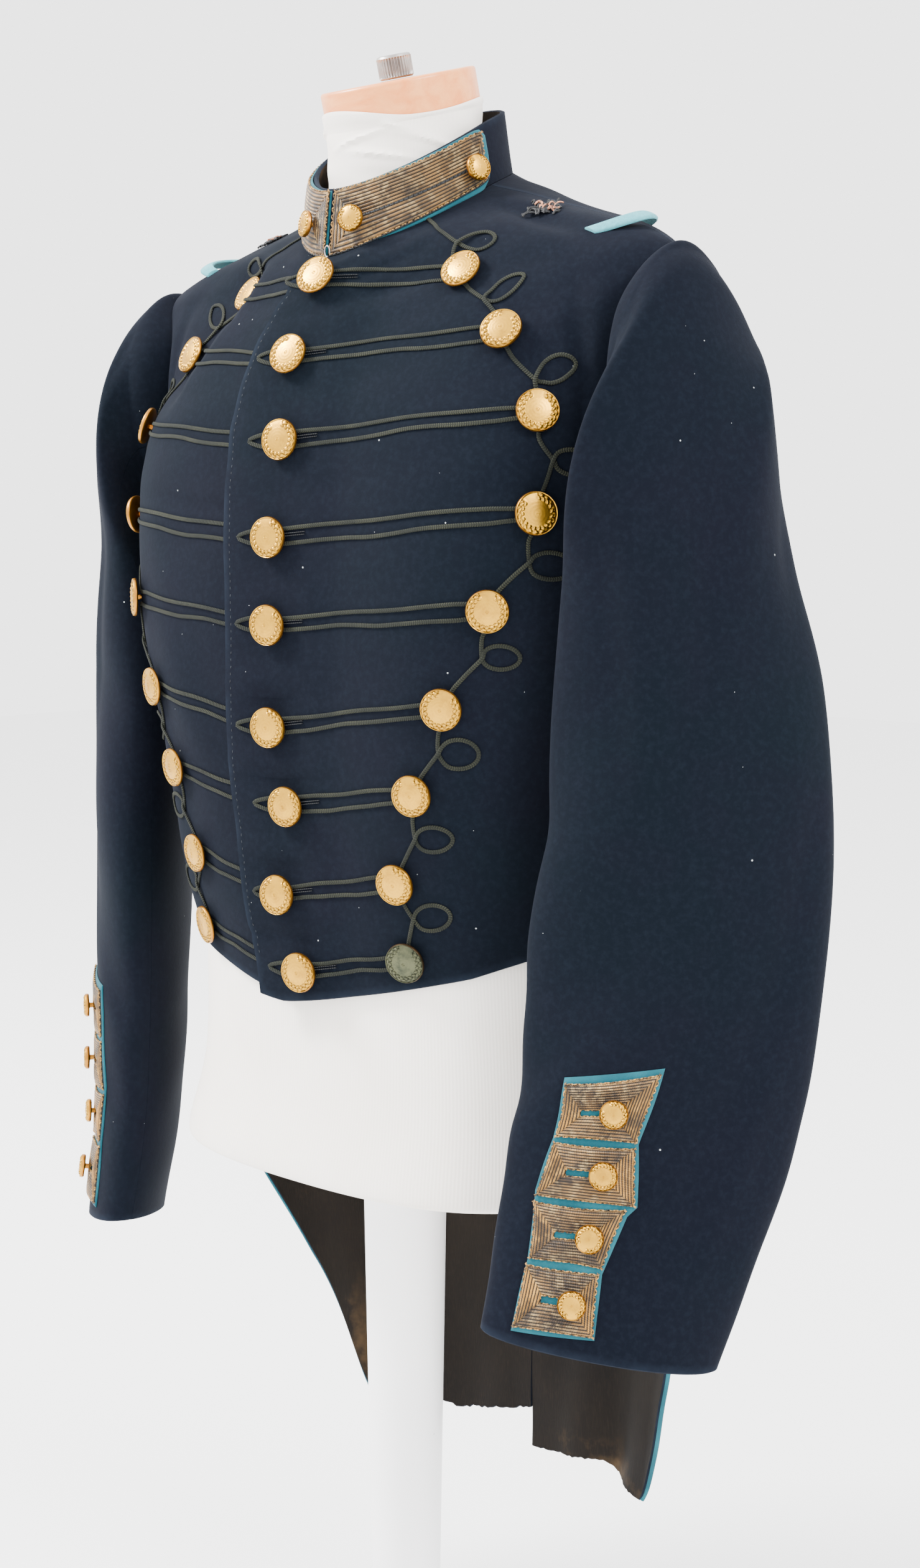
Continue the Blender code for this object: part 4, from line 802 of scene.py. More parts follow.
def cloth_wall(name, outer, inner, materials, round_edge=0.0007, only=(1, 1, 1, 1)):
    """A closed cloth wall between two grids, with a rounded edge. Its outer face has the first
    material and its inner face the last. only says which grid sides count as free edges."""
    rows, cols = outer.shape[:2]
    half = rows * cols
    run = border(rows, cols)
    rim_outer = outer[run[:, 0], run[:, 1]]
    rim_inner = inner[run[:, 0], run[:, 1]]
    out = unit(rim_outer - outer[run[:, 2], run[:, 3]])
    middle = (rim_outer + rim_inner) / 2 + out * round_edge
    points = np.concatenate([outer.reshape(-1, 3), inner.reshape(-1, 3), middle])
    r, c = np.meshgrid(np.arange(rows - 1), np.arange(cols - 1), indexing="ij")
    a = (r * cols + c).ravel()
    faces = np.stack([a, a + 1, a + cols + 1, a + cols], 1)
    faces = np.concatenate([faces, faces[:, ::-1] + half])
    flat = run[:, 0] * cols + run[:, 1]
    k = np.arange(len(run))
    n = np.roll(k, -1)
    rim = np.concatenate([np.stack([flat[k], 2 * half + k, 2 * half + n, flat[n]], 1),
                          np.stack([2 * half + k, half + flat[k], half + flat[n], 2 * half + n], 1)])
    count = (rows - 1) * (cols - 1)
    indices = [0] * count + [len(materials) - 1] * count + [0] * len(rim)
    across, along = lengths(outer, 1), lengths(outer, 0)
    sides = [along if only[0] else None, across[:, -1:] - across if only[1] else None,
             along[-1:] - along if only[2] else None, across if only[3] else None]
    near = np.full((rows, cols), 1.0)
    for distance in sides:
        if distance is not None:
            near = np.minimum(near, distance)
    uv = np.stack([across, along], -1).reshape(-1, 2)
    return make_piece(name, points, faces.tolist() + rim.tolist(), materials, indices,
                      np.concatenate([uv, uv, uv[flat]]),
                      np.concatenate([near.ravel(), near.ravel(), np.zeros(len(run))]))


def declare_sheet(piece, outer):
    """Prints the flat cut: the longest row and column, and the cloth's own area."""
    a, b = outer[1:, :-1] - outer[:-1, :-1], outer[:-1, 1:] - outer[:-1, :-1]
    c, d = outer[1:, :-1] - outer[1:, 1:], outer[:-1, 1:] - outer[1:, 1:]
    area = (np.linalg.norm(np.cross(a, b), axis=-1).sum() + np.linalg.norm(np.cross(c, d), axis=-1).sum()) / 2
    width, length = float(lengths(outer, 1)[:, -1].max()), float(lengths(outer, 0)[-1].max())
    area = float(min(area, width * length))
    print(f"cut {piece.name} {width * 1000:.0f} x {length * 1000:.0f} mm, {area * 1e4:.0f} cm2")


def tube(points, ups, half_width, half_height, sides=8):
    """Rings of an oval tube along points, its flat side across ups. Returns points, faces, uv."""
    points = np.asarray(points, float)
    ahead = unit(np.gradient(points, axis=0))
    across = unit(np.cross(ups, ahead))
    upward = np.cross(ahead, across)
    angles = 2 * math.pi * np.arange(sides) / sides
    rings = (points[:, None] + across[:, None] * (np.cos(angles) * half_width)[None, :, None]
             + upward[:, None] * (np.sin(angles) * half_height)[None, :, None])
    n = len(points)
    far = lengths(points[:, None], 0)[:, 0]
    uv = np.stack(np.broadcast_arrays(far[:, None], np.cos(angles)[None, :]), -1).reshape(-1, 2)
    i, j = np.meshgrid(np.arange(n - 1), np.arange(sides), indexing="ij")
    a, b = (i * sides + j).ravel(), (i * sides + (j + 1) % sides).ravel()
    faces = np.stack([a, b, b + sides, a + sides], 1).tolist()
    faces += [list(range(sides))[::-1], list(range((n - 1) * sides, n * sides))]
    return rings.reshape(-1, 3), faces, uv


def joined(parts):
    """Several (points, faces, uv) lists as one."""
    points, faces, uvs, first = [], [], [], 0
    for p, f, uv in parts:
        points.append(p)
        uvs.append(uv)
        faces += [[v + first for v in face] for face in f]
        first += len(p)
    return np.concatenate(points), faces, np.concatenate(uvs)


def smooth_line(points, step):
    """A smooth curve through points, at even steps."""
    points = np.asarray(points, float)
    place = np.linspace(0, len(points) - 1, max(len(points) * 8, 2))
    line = table_at(points, place)
    far = lengths(line[:, None], 0)[:, 0]
    even = np.linspace(0, far[-1], max(int(far[-1] / step), 3))
    return np.stack([np.interp(even, far, line[:, k]) for k in range(line.shape[1])], 1)


def settle(piece, body_name="root", *nodes):
    if nodes:
        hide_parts(*nodes)
    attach(piece, body_name)
    return piece


# Stitches and threads that repeat along a line

def stitch_tree(material):
    """Short threads set end to end along a line, each turned a little to alternate sides."""
    tree = bpy.data.node_groups.new("stitches_along_a_line", "GeometryNodeTree")
    face = tree.interface
    face.new_socket("Geometry", in_out="INPUT", socket_type="NodeSocketGeometry")
    for name, value in (("Spacing", 0.003), ("Length", 0.0024), ("Thickness", 0.0005), ("Turn", 0.3), ("Lift", 0.0)):
        made = face.new_socket(name, in_out="INPUT", socket_type="NodeSocketFloat")
        made.default_value = value
    face.new_socket("Geometry", in_out="OUTPUT", socket_type="NodeSocketGeometry")
    start = add(tree, "NodeGroupInput").outputs
    line = add(tree, "GeometryNodeMeshToCurve", links={"Mesh": start["Geometry"]}).outputs[0]
    spots = add(tree, "GeometryNodeCurveToPoints", {"mode": "LENGTH"}, {"Curve": line, "Length": start["Spacing"]})
    bead = add(tree, "GeometryNodeMeshUVSphere", links={"Segments": 6, "Rings": 5, "Radius": 0.5}).outputs[0]
    size = add(tree, "ShaderNodeCombineXYZ", links={0: start["Length"], 1: start["Thickness"], 2: start["Thickness"]}).outputs[0]
    aim = add(tree, "FunctionNodeAlignRotationToVector", {"axis": "X"}, {"Vector": spots.outputs["Tangent"]}).outputs[0]
    place = add(tree, "GeometryNodeInputIndex").outputs[0]
    odd = maths(tree, "SUBTRACT", maths(tree, "MULTIPLY", maths(tree, "MODULO", place, 2.0), 2.0), 1.0)
    turn = add(tree, "ShaderNodeCombineXYZ", links={2: maths(tree, "MULTIPLY", odd, start["Turn"])}).outputs[0]
    turned = add(tree, "FunctionNodeRotateRotation", {"rotation_space": "LOCAL"}, {
        0: aim, 1: add(tree, "FunctionNodeEulerToRotation", links={0: turn}).outputs[0]}).outputs[0]
    set_down = add(tree, "GeometryNodeInstanceOnPoints", links={
        "Points": spots.outputs["Points"], "Instance": bead, "Rotation": turned, "Scale": size}).outputs[0]
    real = add(tree, "GeometryNodeRealizeInstances", links={0: set_down}).outputs[0]
    smooth = add(tree, "GeometryNodeSetShadeSmooth", links={0: real}).outputs[0]
    done = add(tree, "GeometryNodeSetMaterial", links={"Geometry": smooth, "Material": material}).outputs[0]
    add(tree, "NodeGroupOutput", links={0: done})
    return tree


def stitches(name, lines, material, spacing, length, thickness, turn=0.3):
    """One piece of stitches along several lines of points."""
    mesh = bpy.data.meshes.new(name + "_lines")
    points, edges = [], []
    for line in lines:
        edges += [(len(points) + k, len(points) + k + 1) for k in range(len(line) - 1)]
        points += [tuple(p) for p in line]
    mesh.from_pydata(points, edges, [])
    guide = bpy.data.objects.new(name + "_lines", mesh)
    bpy.context.scene.collection.objects.link(guide)
    modifier = guide.modifiers.new("stitches", "NODES")
    modifier.node_group = stitch_tree(material)
    sizes = {"Spacing": spacing, "Length": length, "Thickness": thickness, "Turn": turn}
    for item in modifier.node_group.interface.items_tree:
        if item.item_type == "SOCKET" and item.in_out == "INPUT" and item.name in sizes:
            modifier[item.identifier] = sizes[item.name]
    graph = bpy.context.evaluated_depsgraph_get()
    made = bpy.data.objects.new(name, bpy.data.meshes.new_from_object(guide.evaluated_get(graph)))
    bpy.context.scene.collection.objects.link(made)
    bpy.data.objects.remove(guide, do_unlink=True)
    return made


# Coat panels

FRONT_ROW_COUNT = 120
FRONT_COLUMN_COUNT = 64


def panel_rows(count):
    """Rows from hem to neck, closest together round the armhole."""
    marks = np.concatenate([np.linspace(HEM_ROW, ARMPIT_ROW, 40)[:-1],
                            ARMHOLE_ROW - ARMHOLE_HALF_ROW * np.cos(np.linspace(0, math.pi, 48)),
                            np.linspace(ARMHOLE_ROW + ARMHOLE_HALF_ROW, NECK_ROW, 24)[1:]])
    return np.interp(np.linspace(0, 1, count), np.linspace(0, 1, len(marks)), marks)


def sew_front(side, word):
    rows = panel_rows(FRONT_ROW_COUNT)
    start = t_at_x(left_edge_x(rows) if side > 0 else np.full_like(rows, -RIGHT_EDGE_X), rows)
    end = seam_t(rows) - armhole_half_t(rows) - t_gap(rows)
    u = np.linspace(0, 1, FRONT_COLUMN_COUNT) ** 1.05
    t = start[:, None] + (end - start)[:, None] * u[None, :]
    row = hem_shift(rows[:, None] * np.ones_like(t), t)
    surface = front(side)
    outer = surface(side * t, row)
    inner = outer - normals(surface, side * t, row) * WALL
    piece = cloth_wall(f"wool_front_{word}", outer, inner, (NAVY, LINING), only=(1, 0, 0, 1))
    settle(piece, "root", f"front_{word}")
    declare_sheet(piece, outer)
    return outer


def back_grid(side):
    lowest = TAIL_LOW_ROW[side]
    rows = np.concatenate([np.linspace(lowest, HEM_ROW, 60)[:-1], panel_rows(FRONT_ROW_COUNT)])
    tail_edge = np.interp(rows, (0, 1, 2, 3), TAIL_EDGE_T)
    edge = np.where(rows >= HEM_ROW, seam_t(rows) + armhole_half_t(rows), tail_edge)
    start, end = edge + t_gap(rows), 4.0 - t_gap(rows)
    u = np.linspace(0, 1, 48)
    t = start[:, None] + (end - start)[:, None] * u[None, :]
    seam = np.where(rows >= HEM_ROW, hem_shift(rows, seam_t(rows)), rows)
    blend = smooth_step(u * 6 / 3.0)[None, :]
    row = seam[:, None] * (1 - blend) + rows[:, None] * blend
    near_hem = smooth_step((0.6 - (rows - lowest)) / 0.6)[:, None]
    rise = TAIL_HEM_RISE[side] * (np.clip(u / 0.5, 0, 1) ** 1.3)[None, :] + TAIL_HEM_TURN[side] * u[None, :]
    ragged = 0.008 * np.sin(61.0 * u + 2.0) * np.sin(23.0 * u) + 0.005 * np.sin(140.0 * u)
    return t, row + near_hem * (rise + ragged[None, :])


def sew_back(side, word):
    t, row = back_grid(side)
    outer = back(side * t, row)
    inner = outer - normals(back, side * t, row) * WALL
    piece = cloth_wall(f"wool_back_{word}", outer, inner, (NAVY, LINING), only=(1, 0, 0, 1))
    settle(piece, "root", f"back_{word}")
    declare_sheet(piece, outer)
    tail = 60
    line = outer[:tail, 0] + (outer[:tail, 0] - inner[:tail, 0]) * (0.25 if side > 0 else 0.6)
    line = smooth_line(line, 0.002)
    ups = np.tile(np.array([0.0, -1.0, 0.0]), (len(line), 1))
    piping = make_piece(f"tail_piping_{word}", *tube(line, ups, 0.0017, 0.0014)[:2], (TEAL,))
    settle(piping)


def sew_sleeve(side, word, top):
    first = -SLEEVE_SEAM_DEG if top else SLEEVE_SEAM_DEG
    last = SLEEVE_SEAM_DEG if top else 360.0 - SLEEVE_SEAM_DEG
    degrees = np.linspace(first + 0.25, last - 0.25, 76 if top else 40)
    stations = np.concatenate([np.linspace(-1, 0, 10)[:-1], np.linspace(0, SLEEVE_LAST, 160)])
    degree, station = np.meshgrid(degrees, stations)
    outer = sleeve(side)(degree, station)
    inner = outer - sleeve_normals(side, degree, np.maximum(station, -0.8)) * WALL
    name = "top" if top else "under"
    piece = cloth_wall(f"wool_sleeve_{word}_{name}", outer, inner, (NAVY, LINING), only=(0, 0, 1, 0))
    settle(piece, "root", f"sleeve_{word}_{name}")
    declare_sheet(piece, outer)


def sew_turning(side, word):
    """The armhole's seam allowance, turned back inside the coat, so that no light shows through."""
    angle = np.radians(np.linspace(0.0, 360.0, 121))[None, :]
    reach = np.array([1.09, 1.05, 1.01, 0.97])[:, None]
    t = side * (ARMHOLE_T - ARMHOLE_HALF_T * reach * np.sin(angle))
    row = ARMHOLE_ROW + ARMHOLE_HALF_ROW * reach * np.cos(angle)
    inward = -normals(body, t, row)
    outer = body(t, row) + inward * (WALL + 0.0004)
    inner = outer + inward * 0.0009
    if side < 0:
        outer, inner = outer[:, ::-1], inner[:, ::-1]
    settle(cloth_wall(f"wool_armhole_turning_{word}", outer, inner, (NAVY,), 0.0003))


def sew_collar():
    ts = np.concatenate([np.linspace(0.02, 3.999, 110), -np.linspace(3.999, 0.02, 110)])
    heights = np.linspace(0, 1, 16)
    t, height = np.meshgrid(ts, heights)
    wave = 0.0006 * np.sin(4.2 * t + 2.0 * height) * height
    out = collar_normals(t, height)
    outer = collar(t, height) + out * wave[..., None]
    inner = outer - out * COLLAR_WALL
    piece = cloth_wall("wool_collar", outer, inner, (NAVY, LINING), only=(0, 1, 1, 1))
    settle(piece, "root", "collar")
    declare_sheet(piece, outer)


# Lace and facings

# Distance between the lace's ribs, and how far a frame's sides are drawn in at the middle
RIB_PITCH = 0.0016
LACE_WAIST = 0.05


def lace_strip(place, outer_a, outer_b, inner_a, inner_b, rise, seat, along=18, pitch=RIB_PITCH, waist=0.0):
    """One side of a mitred lace frame, from its outer corners to its inner ones, with raised
    ribs. place turns coordinates and a height into points."""
    ends = place(np.array([outer_a, outer_b, inner_a, inner_b]), np.zeros(4))
    width = (np.linalg.norm((ends[0] + ends[1]) / 2 - (ends[2] + ends[3]) / 2))
    ribs = max(int(round(width / pitch)), 3)
    s, w = np.meshgrid(np.linspace(0, 1, along), np.linspace(0, 1, ribs * 4 + 1))
    o = np.array(outer_a)[None, None] * (1 - s[..., None]) + np.array(outer_b)[None, None] * s[..., None]
    i = np.array(inner_a)[None, None] * (1 - s[..., None]) + np.array(inner_b)[None, None] * s[..., None]
    o = o + (i - o) * (waist * np.sin(math.pi * s))[..., None]
    spot = o * (1 - w[..., None]) + i * w[..., None]
    pillow = np.sqrt(np.maximum(1 - (2 * w - 1) ** 4, 0.0)) * (0.55 + 0.45 * np.sqrt(np.sin(math.pi * np.clip(s, 0.02, 0.98))))
    relief = 0.5 - 0.5 * np.cos(2 * math.pi * ribs * w)
    crown = rise * (0.25 + 0.75 * pillow) + 0.3 * pitch * relief
    top = place(spot, seat + crown)
    low = place(spot, seat * np.ones_like(crown))
    uv = np.stack([lengths(top, 1), w * ribs], -1).reshape(-1, 2)
    rows, cols = top.shape[:2]
    half = rows * cols
    r, c = np.meshgrid(np.arange(rows - 1), np.arange(cols - 1), indexing="ij")
    a = (r * cols + c).ravel()
    faces = np.stack([a, a + 1, a + cols + 1, a + cols], 1)
    faces = np.concatenate([faces, faces[:, ::-1] + half]).tolist()
    run = border(rows, cols)
    flat = (run[:, 0] * cols + run[:, 1]).tolist()
    faces += [[p, half + p, half + q, q] for p, q in zip(flat, flat[1:] + flat[:1])]
    return np.concatenate([top.reshape(-1, 3), low.reshape(-1, 3)]), faces, np.concatenate([uv, uv])


def felt_patch(name, place, outline, seat, wall, material, step=0.35):
    """A flat patch with a wavy outline: a fan of rings from its middle, with a rounded edge."""
    outline = np.array(outline, float)
    closed = np.concatenate([outline, outline[:1]])
    far = np.linspace(0, len(outline), len(outline) * 10 + 1)[:-1]
    rim = np.stack([np.interp(far, np.arange(len(closed)), closed[:, k]) for k in range(2)], 1)
    middle = outline.mean(axis=0)
    shares = np.array((0.0, 0.25, 0.5, 0.7, 0.85, 0.94, 0.985, 1.0))
    spot = middle + (rim - middle)[None] * shares[:, None, None]
    lift = wall * np.array((1, 1, 1, 1, 1, 1, 0.75, 0.3))[:, None] * np.ones(len(rim))
    top, low = place(spot, seat + lift), place(spot, seat * np.ones_like(lift))
    rows, cols = top.shape[:2]
    half = rows * cols
    faces = []
    for r in range(rows - 1):
        for c in range(cols):
            a, b = r * cols + c, r * cols + (c + 1) % cols
            faces += [[a, b, b + cols, a + cols], [half + a, half + a + cols, half + b + cols, half + b]]
    last = (rows - 1) * cols
    faces += [[last + c, last + (c + 1) % cols, half + last + (c + 1) % cols, half + last + c] for c in range(cols)]
    points = np.concatenate([top.reshape(-1, 3), low.reshape(-1, 3)])
    piece = make_piece(name, points, faces, (material,), uvs=np.zeros((len(points), 2)))
    weld = bmesh.new()
    weld.from_mesh(piece.data)
    bmesh.ops.remove_doubles(weld, verts=weld.verts[:], dist=1e-6)
    bmesh.ops.recalc_face_normals(weld, faces=weld.faces[:])
    weld.to_mesh(piece.data)
    weld.free()
    return piece


def sew_cuff(side, word):
    surface = sleeve(side)

    def place(spot, height):
        station, degrees = spot[..., 0], spot[..., 1]
        return surface(degrees, station) + sleeve_normals(side, degrees, station) * np.asarray(height)[..., None]

    patch = felt_patch(f"teal_cuff_patch_{word}", place, CUFF_PATCH, 0.0002, PATCH_WALL, TEAL)
    settle(patch)
    seat = 0.0002 + PATCH_WALL
    strips, edging = [], []
    for k, (a, b, c, d, slot_in, slot_out) in enumerate(PLATES):
        corners = (a, b, c, d)
        slot = ((slot_in[0] - SLOT_HALF, slot_in[1]), (slot_out[0] - SLOT_HALF, slot_out[1]),
                (slot_out[0] + SLOT_HALF, slot_out[1]), (slot_in[0] + SLOT_HALF, slot_in[1]))
        for n in range(4):
            m = (n + 1) % 4
            strips.append(lace_strip(place, corners[n], corners[m], slot[n], slot[m], 0.0018, seat - 0.0002, waist=LACE_WAIST))
            line, inside = np.linspace(corners[n], corners[m], 20), np.linspace(slot[n], slot[m], 20)
            bow = LACE_WAIST * np.sin(np.linspace(0, math.pi, 20))[:, None]
            edging.append(place(line + (inside - line) * bow, np.full(20, seat + 0.0009)))
            edging.append(place(inside, np.full(20, seat + 0.0006)))
    points, faces, uv = joined(strips)
    # The end strips of each plate take the painted lit copy of the lace
    ends = [n % 2 for n, strip in enumerate(strips) for _ in strip[1]]
    lace = make_piece(f"gold_cuff_lace_{word}", points, faces, (LACE, LACE_PAINTED_LIT), ends, uv)
    settle(lace, "root", f"cuff_lace_{word}")
    settle(stitches(f"cuff_lace_edging_{word}", edging, GOLD_THREAD, 0.0019, 0.0026, 0.0008, 0.65))


def sew_collar_lace(side, word):
    def place(spot, height):
        t, h = spot[..., 0], spot[..., 1]
        h = 0.5 + (h - 0.5) * (1.0 - 0.20 * np.clip((t - 1.72) / 0.30, 0, 1) ** 3)
        t = side * t
        return collar(t, h) + collar_normals(t, h) * np.asarray(height)[..., None]

    outline = ((0.03, 0.03), (0.5, 0.01), (1.0, 0.00), (1.5, -0.02), (1.92, -0.05), (2.03, 0.02), (2.06, 0.14),
               (2.06, 0.50), (2.03, 0.90), (1.93, 0.99), (1.5, 0.99), (1.0, 0.99), (0.5, 0.99), (0.03, 0.98))
    settle(felt_patch(f"teal_collar_patch_{word}", place, outline, 0.0002, PATCH_WALL, TEAL))
    seat = 0.0002 + PATCH_WALL
    corners = ((0.055, 0.05), (1.95, 0.09), (1.93, 0.93), (0.055, 0.97))
    slot = ((0.40, 0.475), (1.80, 0.40), (1.80, 0.425), (0.40, 0.485))
    strips, edging, dark = [], [], []
    for n in range(4):
        m = (n + 1) % 4
        strips.append(lace_strip(place, corners[n], corners[m], slot[n], slot[m], 0.0014, seat - 0.0002, 60 if n % 2 == 0 else 14, 0.0022))
        edging.append(place(np.linspace(corners[n], corners[m], 50), np.full(50, seat + 0.0008)))
        dark.append(place(np.linspace(slot[n], slot[m], 50), np.full(50, seat + 0.0008)))
    dark.append(place(np.linspace((0.055, 0.035), (1.97, 0.075), 90), np.full(90, seat + 0.0006)))
    points, faces, uv = joined(strips)
    settle(make_piece(f"gold_collar_lace_{word}", points, faces, (LACE,), uvs=uv), "root", f"collar_lace_{word}")
    settle(stitches(f"collar_lace_edging_{word}", edging, GOLD_THREAD, 0.0019, 0.0026, 0.0008, 0.65))
    settle(stitches(f"collar_lace_cord_{word}", dark, DARK_THREAD, 0.0014, 0.0024, 0.0012, 0.6))


# Braid

def loop_between(side, start, end, shape):
    """A small loop swung out from the line between two outer buttons, crossing over itself."""
    down_share, out, loop_out, loop_down, long, tall, tilt, point = shape
    start, end = np.array(start), np.array(end)
    middle = (start + end) / 2
    facing = abs(float(on_front(side, side * middle[0:1], middle[1:2])[1][0, 1]))
    cross = start + (end - start) * down_share + np.array([out * facing, 0.0])
    centre = cross + np.array([loop_out * facing, -loop_down])
    lean = math.radians(tilt)
    points, lifts = [start + (cross - start) * 0.5 - np.array([0.0015 * facing, 0.0]), cross], [0.0, 0.0]
    for degrees in (-140, -105, -70, -35, 0, 35, 70, 105, 140):
        angle = math.radians(degrees)
        reach = long * (math.cos(angle) + point * 0.25 * max(math.cos(angle), 0.0) ** 6)
        rise = tall * math.sin(angle) * (1.0 - point * 0.25 * max(math.cos(angle), 0.0))
        points.append(centre + np.array([(reach * math.cos(lean) - rise * math.sin(lean)) * facing,
                                         reach * math.sin(lean) + rise * math.cos(lean)]))
        lifts.append(0.0)
    points += [cross, cross + (end - cross) * 0.30, cross + (end - cross) * 0.65]
    lifts += [0.0012, 0.0006, 0.0]
    return [(float(p[0]), float(p[1]), lift) for p, lift in zip(points, lifts)]


def braid_route(side):
    """One side's braid as (x, z, lift): from the collar, nine hairpins joined by small loops."""
    s = BRAID_HALF_SPACING
    lifts = [0.0] * 9 + [0.0005, 0.0011, 0.0010, 0.0004, 0.0]
    route = [(x, z, lift) for (x, z), lift in zip(NECK_LOOP, lifts)]
    for k, (centre_z, centre_x, outer_z, outer_x) in enumerate(BUTTON_TABLE):
        edge_x = float(left_edge_x(6.0 + (centre_z - 0.68) / 0.06)) + BRAID_EDGE_MARGIN
        end_x = max(centre_x - BRAID_EYE, edge_x) if side > 0 else RIGHT_BRAID_END_X
        start_x = centre_x if side > 0 else end_x + 0.006
        count = 9
        upper, lower = [], []
        for j in range(count + 1):
            u = j / count
            x, z = outer_x + (start_x - outer_x) * u, outer_z + (centre_z - outer_z) * u
            wave = 0.0006 * math.sin(1.1 * j + 1.9 * k) * math.sin(math.pi * u)
            gap = s * (1.0 + 0.15 * math.sin(2.0 * k + 3.0 * u))
            upper.append((x, z + gap + wave, 0.0))
            lower.append((x, z - gap + wave * 0.8 + 0.0004 * math.sin(1.7 * j + k) * math.sin(math.pi * u), 0.0))
        neck = [((centre_x + end_x) / 2, centre_z + s, 0.0)] if side > 0 else []
        neck_low = [((centre_x + end_x) / 2, centre_z - s, 0.0)] if side > 0 else []
        route += upper + neck + [(end_x, centre_z, 0.0)] + neck_low + lower[::-1]
        if k + 1 < len(BUTTON_TABLE):
            following = BUTTON_TABLE[k + 1]
            route += loop_between(side, (outer_x, outer_z - s), (following[3], following[2] + s), LOOPS[k])
    return route


def sew_braid(side, word):
    line = smooth_line(braid_route(side), 0.0016)
    points, ups = on_front(side, side * line[:, 0], line[:, 1])
    middle = points + ups * (BRAID_HEIGHT * 0.42 + line[:, 2:3] + 0.0001)
    points, faces, uv = tube(middle, ups, BRAID_WIDTH / 2, BRAID_HEIGHT / 2)
    settle(make_piece(f"olive_braid_{word}", points, faces, (BRAID,), uvs=uv, sharp=80), "root", f"braid_{word}")


def sew_buttonholes():
    """A worked slit beside each centre button, on the left front."""
    slits = []
    for centre_z, centre_x, outer_z, outer_x in BUTTON_TABLE:
        lean = (outer_z - centre_z) / (outer_x - centre_x)
        x = centre_x + np.linspace(0.006, 0.0215, 14)
        points, ups = on_front(1, x, centre_z + lean * (x - centre_x) + 0.0008)
        for offset in (-0.0007, 0.0007):
            slits.append(points + ups * 0.0005 + np.array([0.0, 0.0, offset]))
    settle(stitches("buttonhole_stitches", slits, DARK_THREAD, 0.0007, 0.0022, 0.0006, 1.2))


# Buttons

def wreath(radius, angle):
    """Relief of two leafy branches, open at the top, round a bare stippled field, and grime with painted shade at the
    foot of the relief.
    """
    round_angle = (angle - math.pi / 2) % (2 * math.pi)
    branch = np.minimum(round_angle, 2 * math.pi - round_angle)
    relief, dirt_and_shade = np.zeros_like(radius), np.zeros_like(radius)
    for at, half, lean in ((0.70, 0.085, 1.1), (0.83, 0.075, -1.1)):
        place = branch * 3.0 + (0.5 if at > 0.75 else 0.0) + lean * (radius - at) * 2.0
        across = (place % 1.0 - 0.5) / 0.36
        off = across**2 + ((radius - at) / half) ** 2
        relief = np.maximum(relief, np.maximum(1.0 - off, 0.0) ** 0.5)
        # Dark round the foot of each leaf: grime and painted shade
        dirt_and_shade = np.maximum(dirt_and_shade, np.exp(-((off - 1.15) / 0.45) ** 2))
    stem = np.exp(-((radius - 0.765) / 0.016) ** 2)
    inside = smooth_step((branch - 0.35) / 0.12)
    knot = np.exp(-((radius - 0.78) / 0.09) ** 2 - ((math.pi - branch) / 0.14) ** 2)
    stipple = 0.16 * np.sin(radius * 70) * np.sin(angle * 23) * (radius < 0.58)
    # A dark ring inside the rim, in colour only: grime and painted shade at the rim's foot
    rule = np.exp(-((radius - 0.925) / 0.012) ** 2)
    relief = np.maximum(np.maximum(relief, 0.6 * stem) * inside, knot) + stipple
    return np.clip(relief, 0, 1), np.clip(dirt_and_shade * inside * (radius > 0.6) + 0.8 * rule + 0.25 * (stipple < -0.05), 0, 1)


def button_parts(radius, around, steps):
    """A turned, stamped button about the origin, facing +Z: points, faces and UV."""
    shares = np.concatenate([np.linspace(0.03, 0.90, steps), (0.925, 0.945, 0.962, 0.978, 0.99, 1.0)])
    angles = 2 * math.pi * np.arange(around) / around
    r, a = np.meshgrid(shares, angles, indexing="ij")
    dome = BUTTON_RISE * (0.60 + 0.40 * (1 - np.clip(r / 0.93, 0, 1) ** 2))
    relief, dirt_and_shade = wreath(r, a)
    rim = 0.00040 * np.exp(-((r - 0.958) / 0.022) ** 2)
    fall = BUTTON_RISE * 0.34 * np.clip((r - 0.965) / 0.035, 0, 1) ** 2
    height = dome + 0.00080 * relief * (r < 0.92) + rim - fall
    rings = [np.stack([r * radius * np.cos(a), r * radius * np.sin(a), height], -1)]
    uvs = [np.stack([r, dirt_and_shade], -1)]
    for share, level in ((0.992, 0.0007), (0.93, 0.0), (0.30, -0.0002), (SHANK_RADIUS / radius, -0.0005),
                         (SHANK_RADIUS / radius, -BUTTON_SEAT + REST_GAP)):
        flat = np.stack([share * radius * np.cos(angles), share * radius * np.sin(angles), np.full(around, level)], -1)
        rings.append(flat[None])
        uvs.append(np.stack([np.full(around, max(share, 0.99)), np.zeros(around)], -1)[None])
    rings, uvs = np.concatenate(rings), np.concatenate(uvs)
    rows = len(rings)
    faces = []
    for i in range(rows - 1):
        for j in range(around):
            n = (j + 1) % around
            faces.append([i * around + j, i * around + n, (i + 1) * around + n, (i + 1) * around + j])
    faces += [list(range(around))[::-1], list(range((rows - 1) * around, rows * around))]
    return rings.reshape(-1, 3), faces, uvs.reshape(-1, 2)


BUTTON_SHAPES = {BUTTON_RADIUS: button_parts(BUTTON_RADIUS, 96, 26),
                 SMALL_BUTTON_RADIUS: button_parts(SMALL_BUTTON_RADIUS, 80, 20)}


def set_button(node, point, normal, radius, turn, material=GILT):
    points, faces, uv = BUTTON_SHAPES[radius]
    normal = unit(normal)
    across = unit(np.cross(np.array([0.0, 0.0, 1.0]), normal))
    upward = np.cross(normal, across)
    c, s = math.cos(turn), math.sin(turn)
    first, second = across * c + upward * s, upward * c - across * s
    placed = point + points[:, :1] * first + points[:, 1:2] * second + points[:, 2:] * normal + normal * BUTTON_SEAT
    settle(make_piece(f"gilt_{node}", placed, faces, (material,), uvs=uv, sharp=60), "root", node)


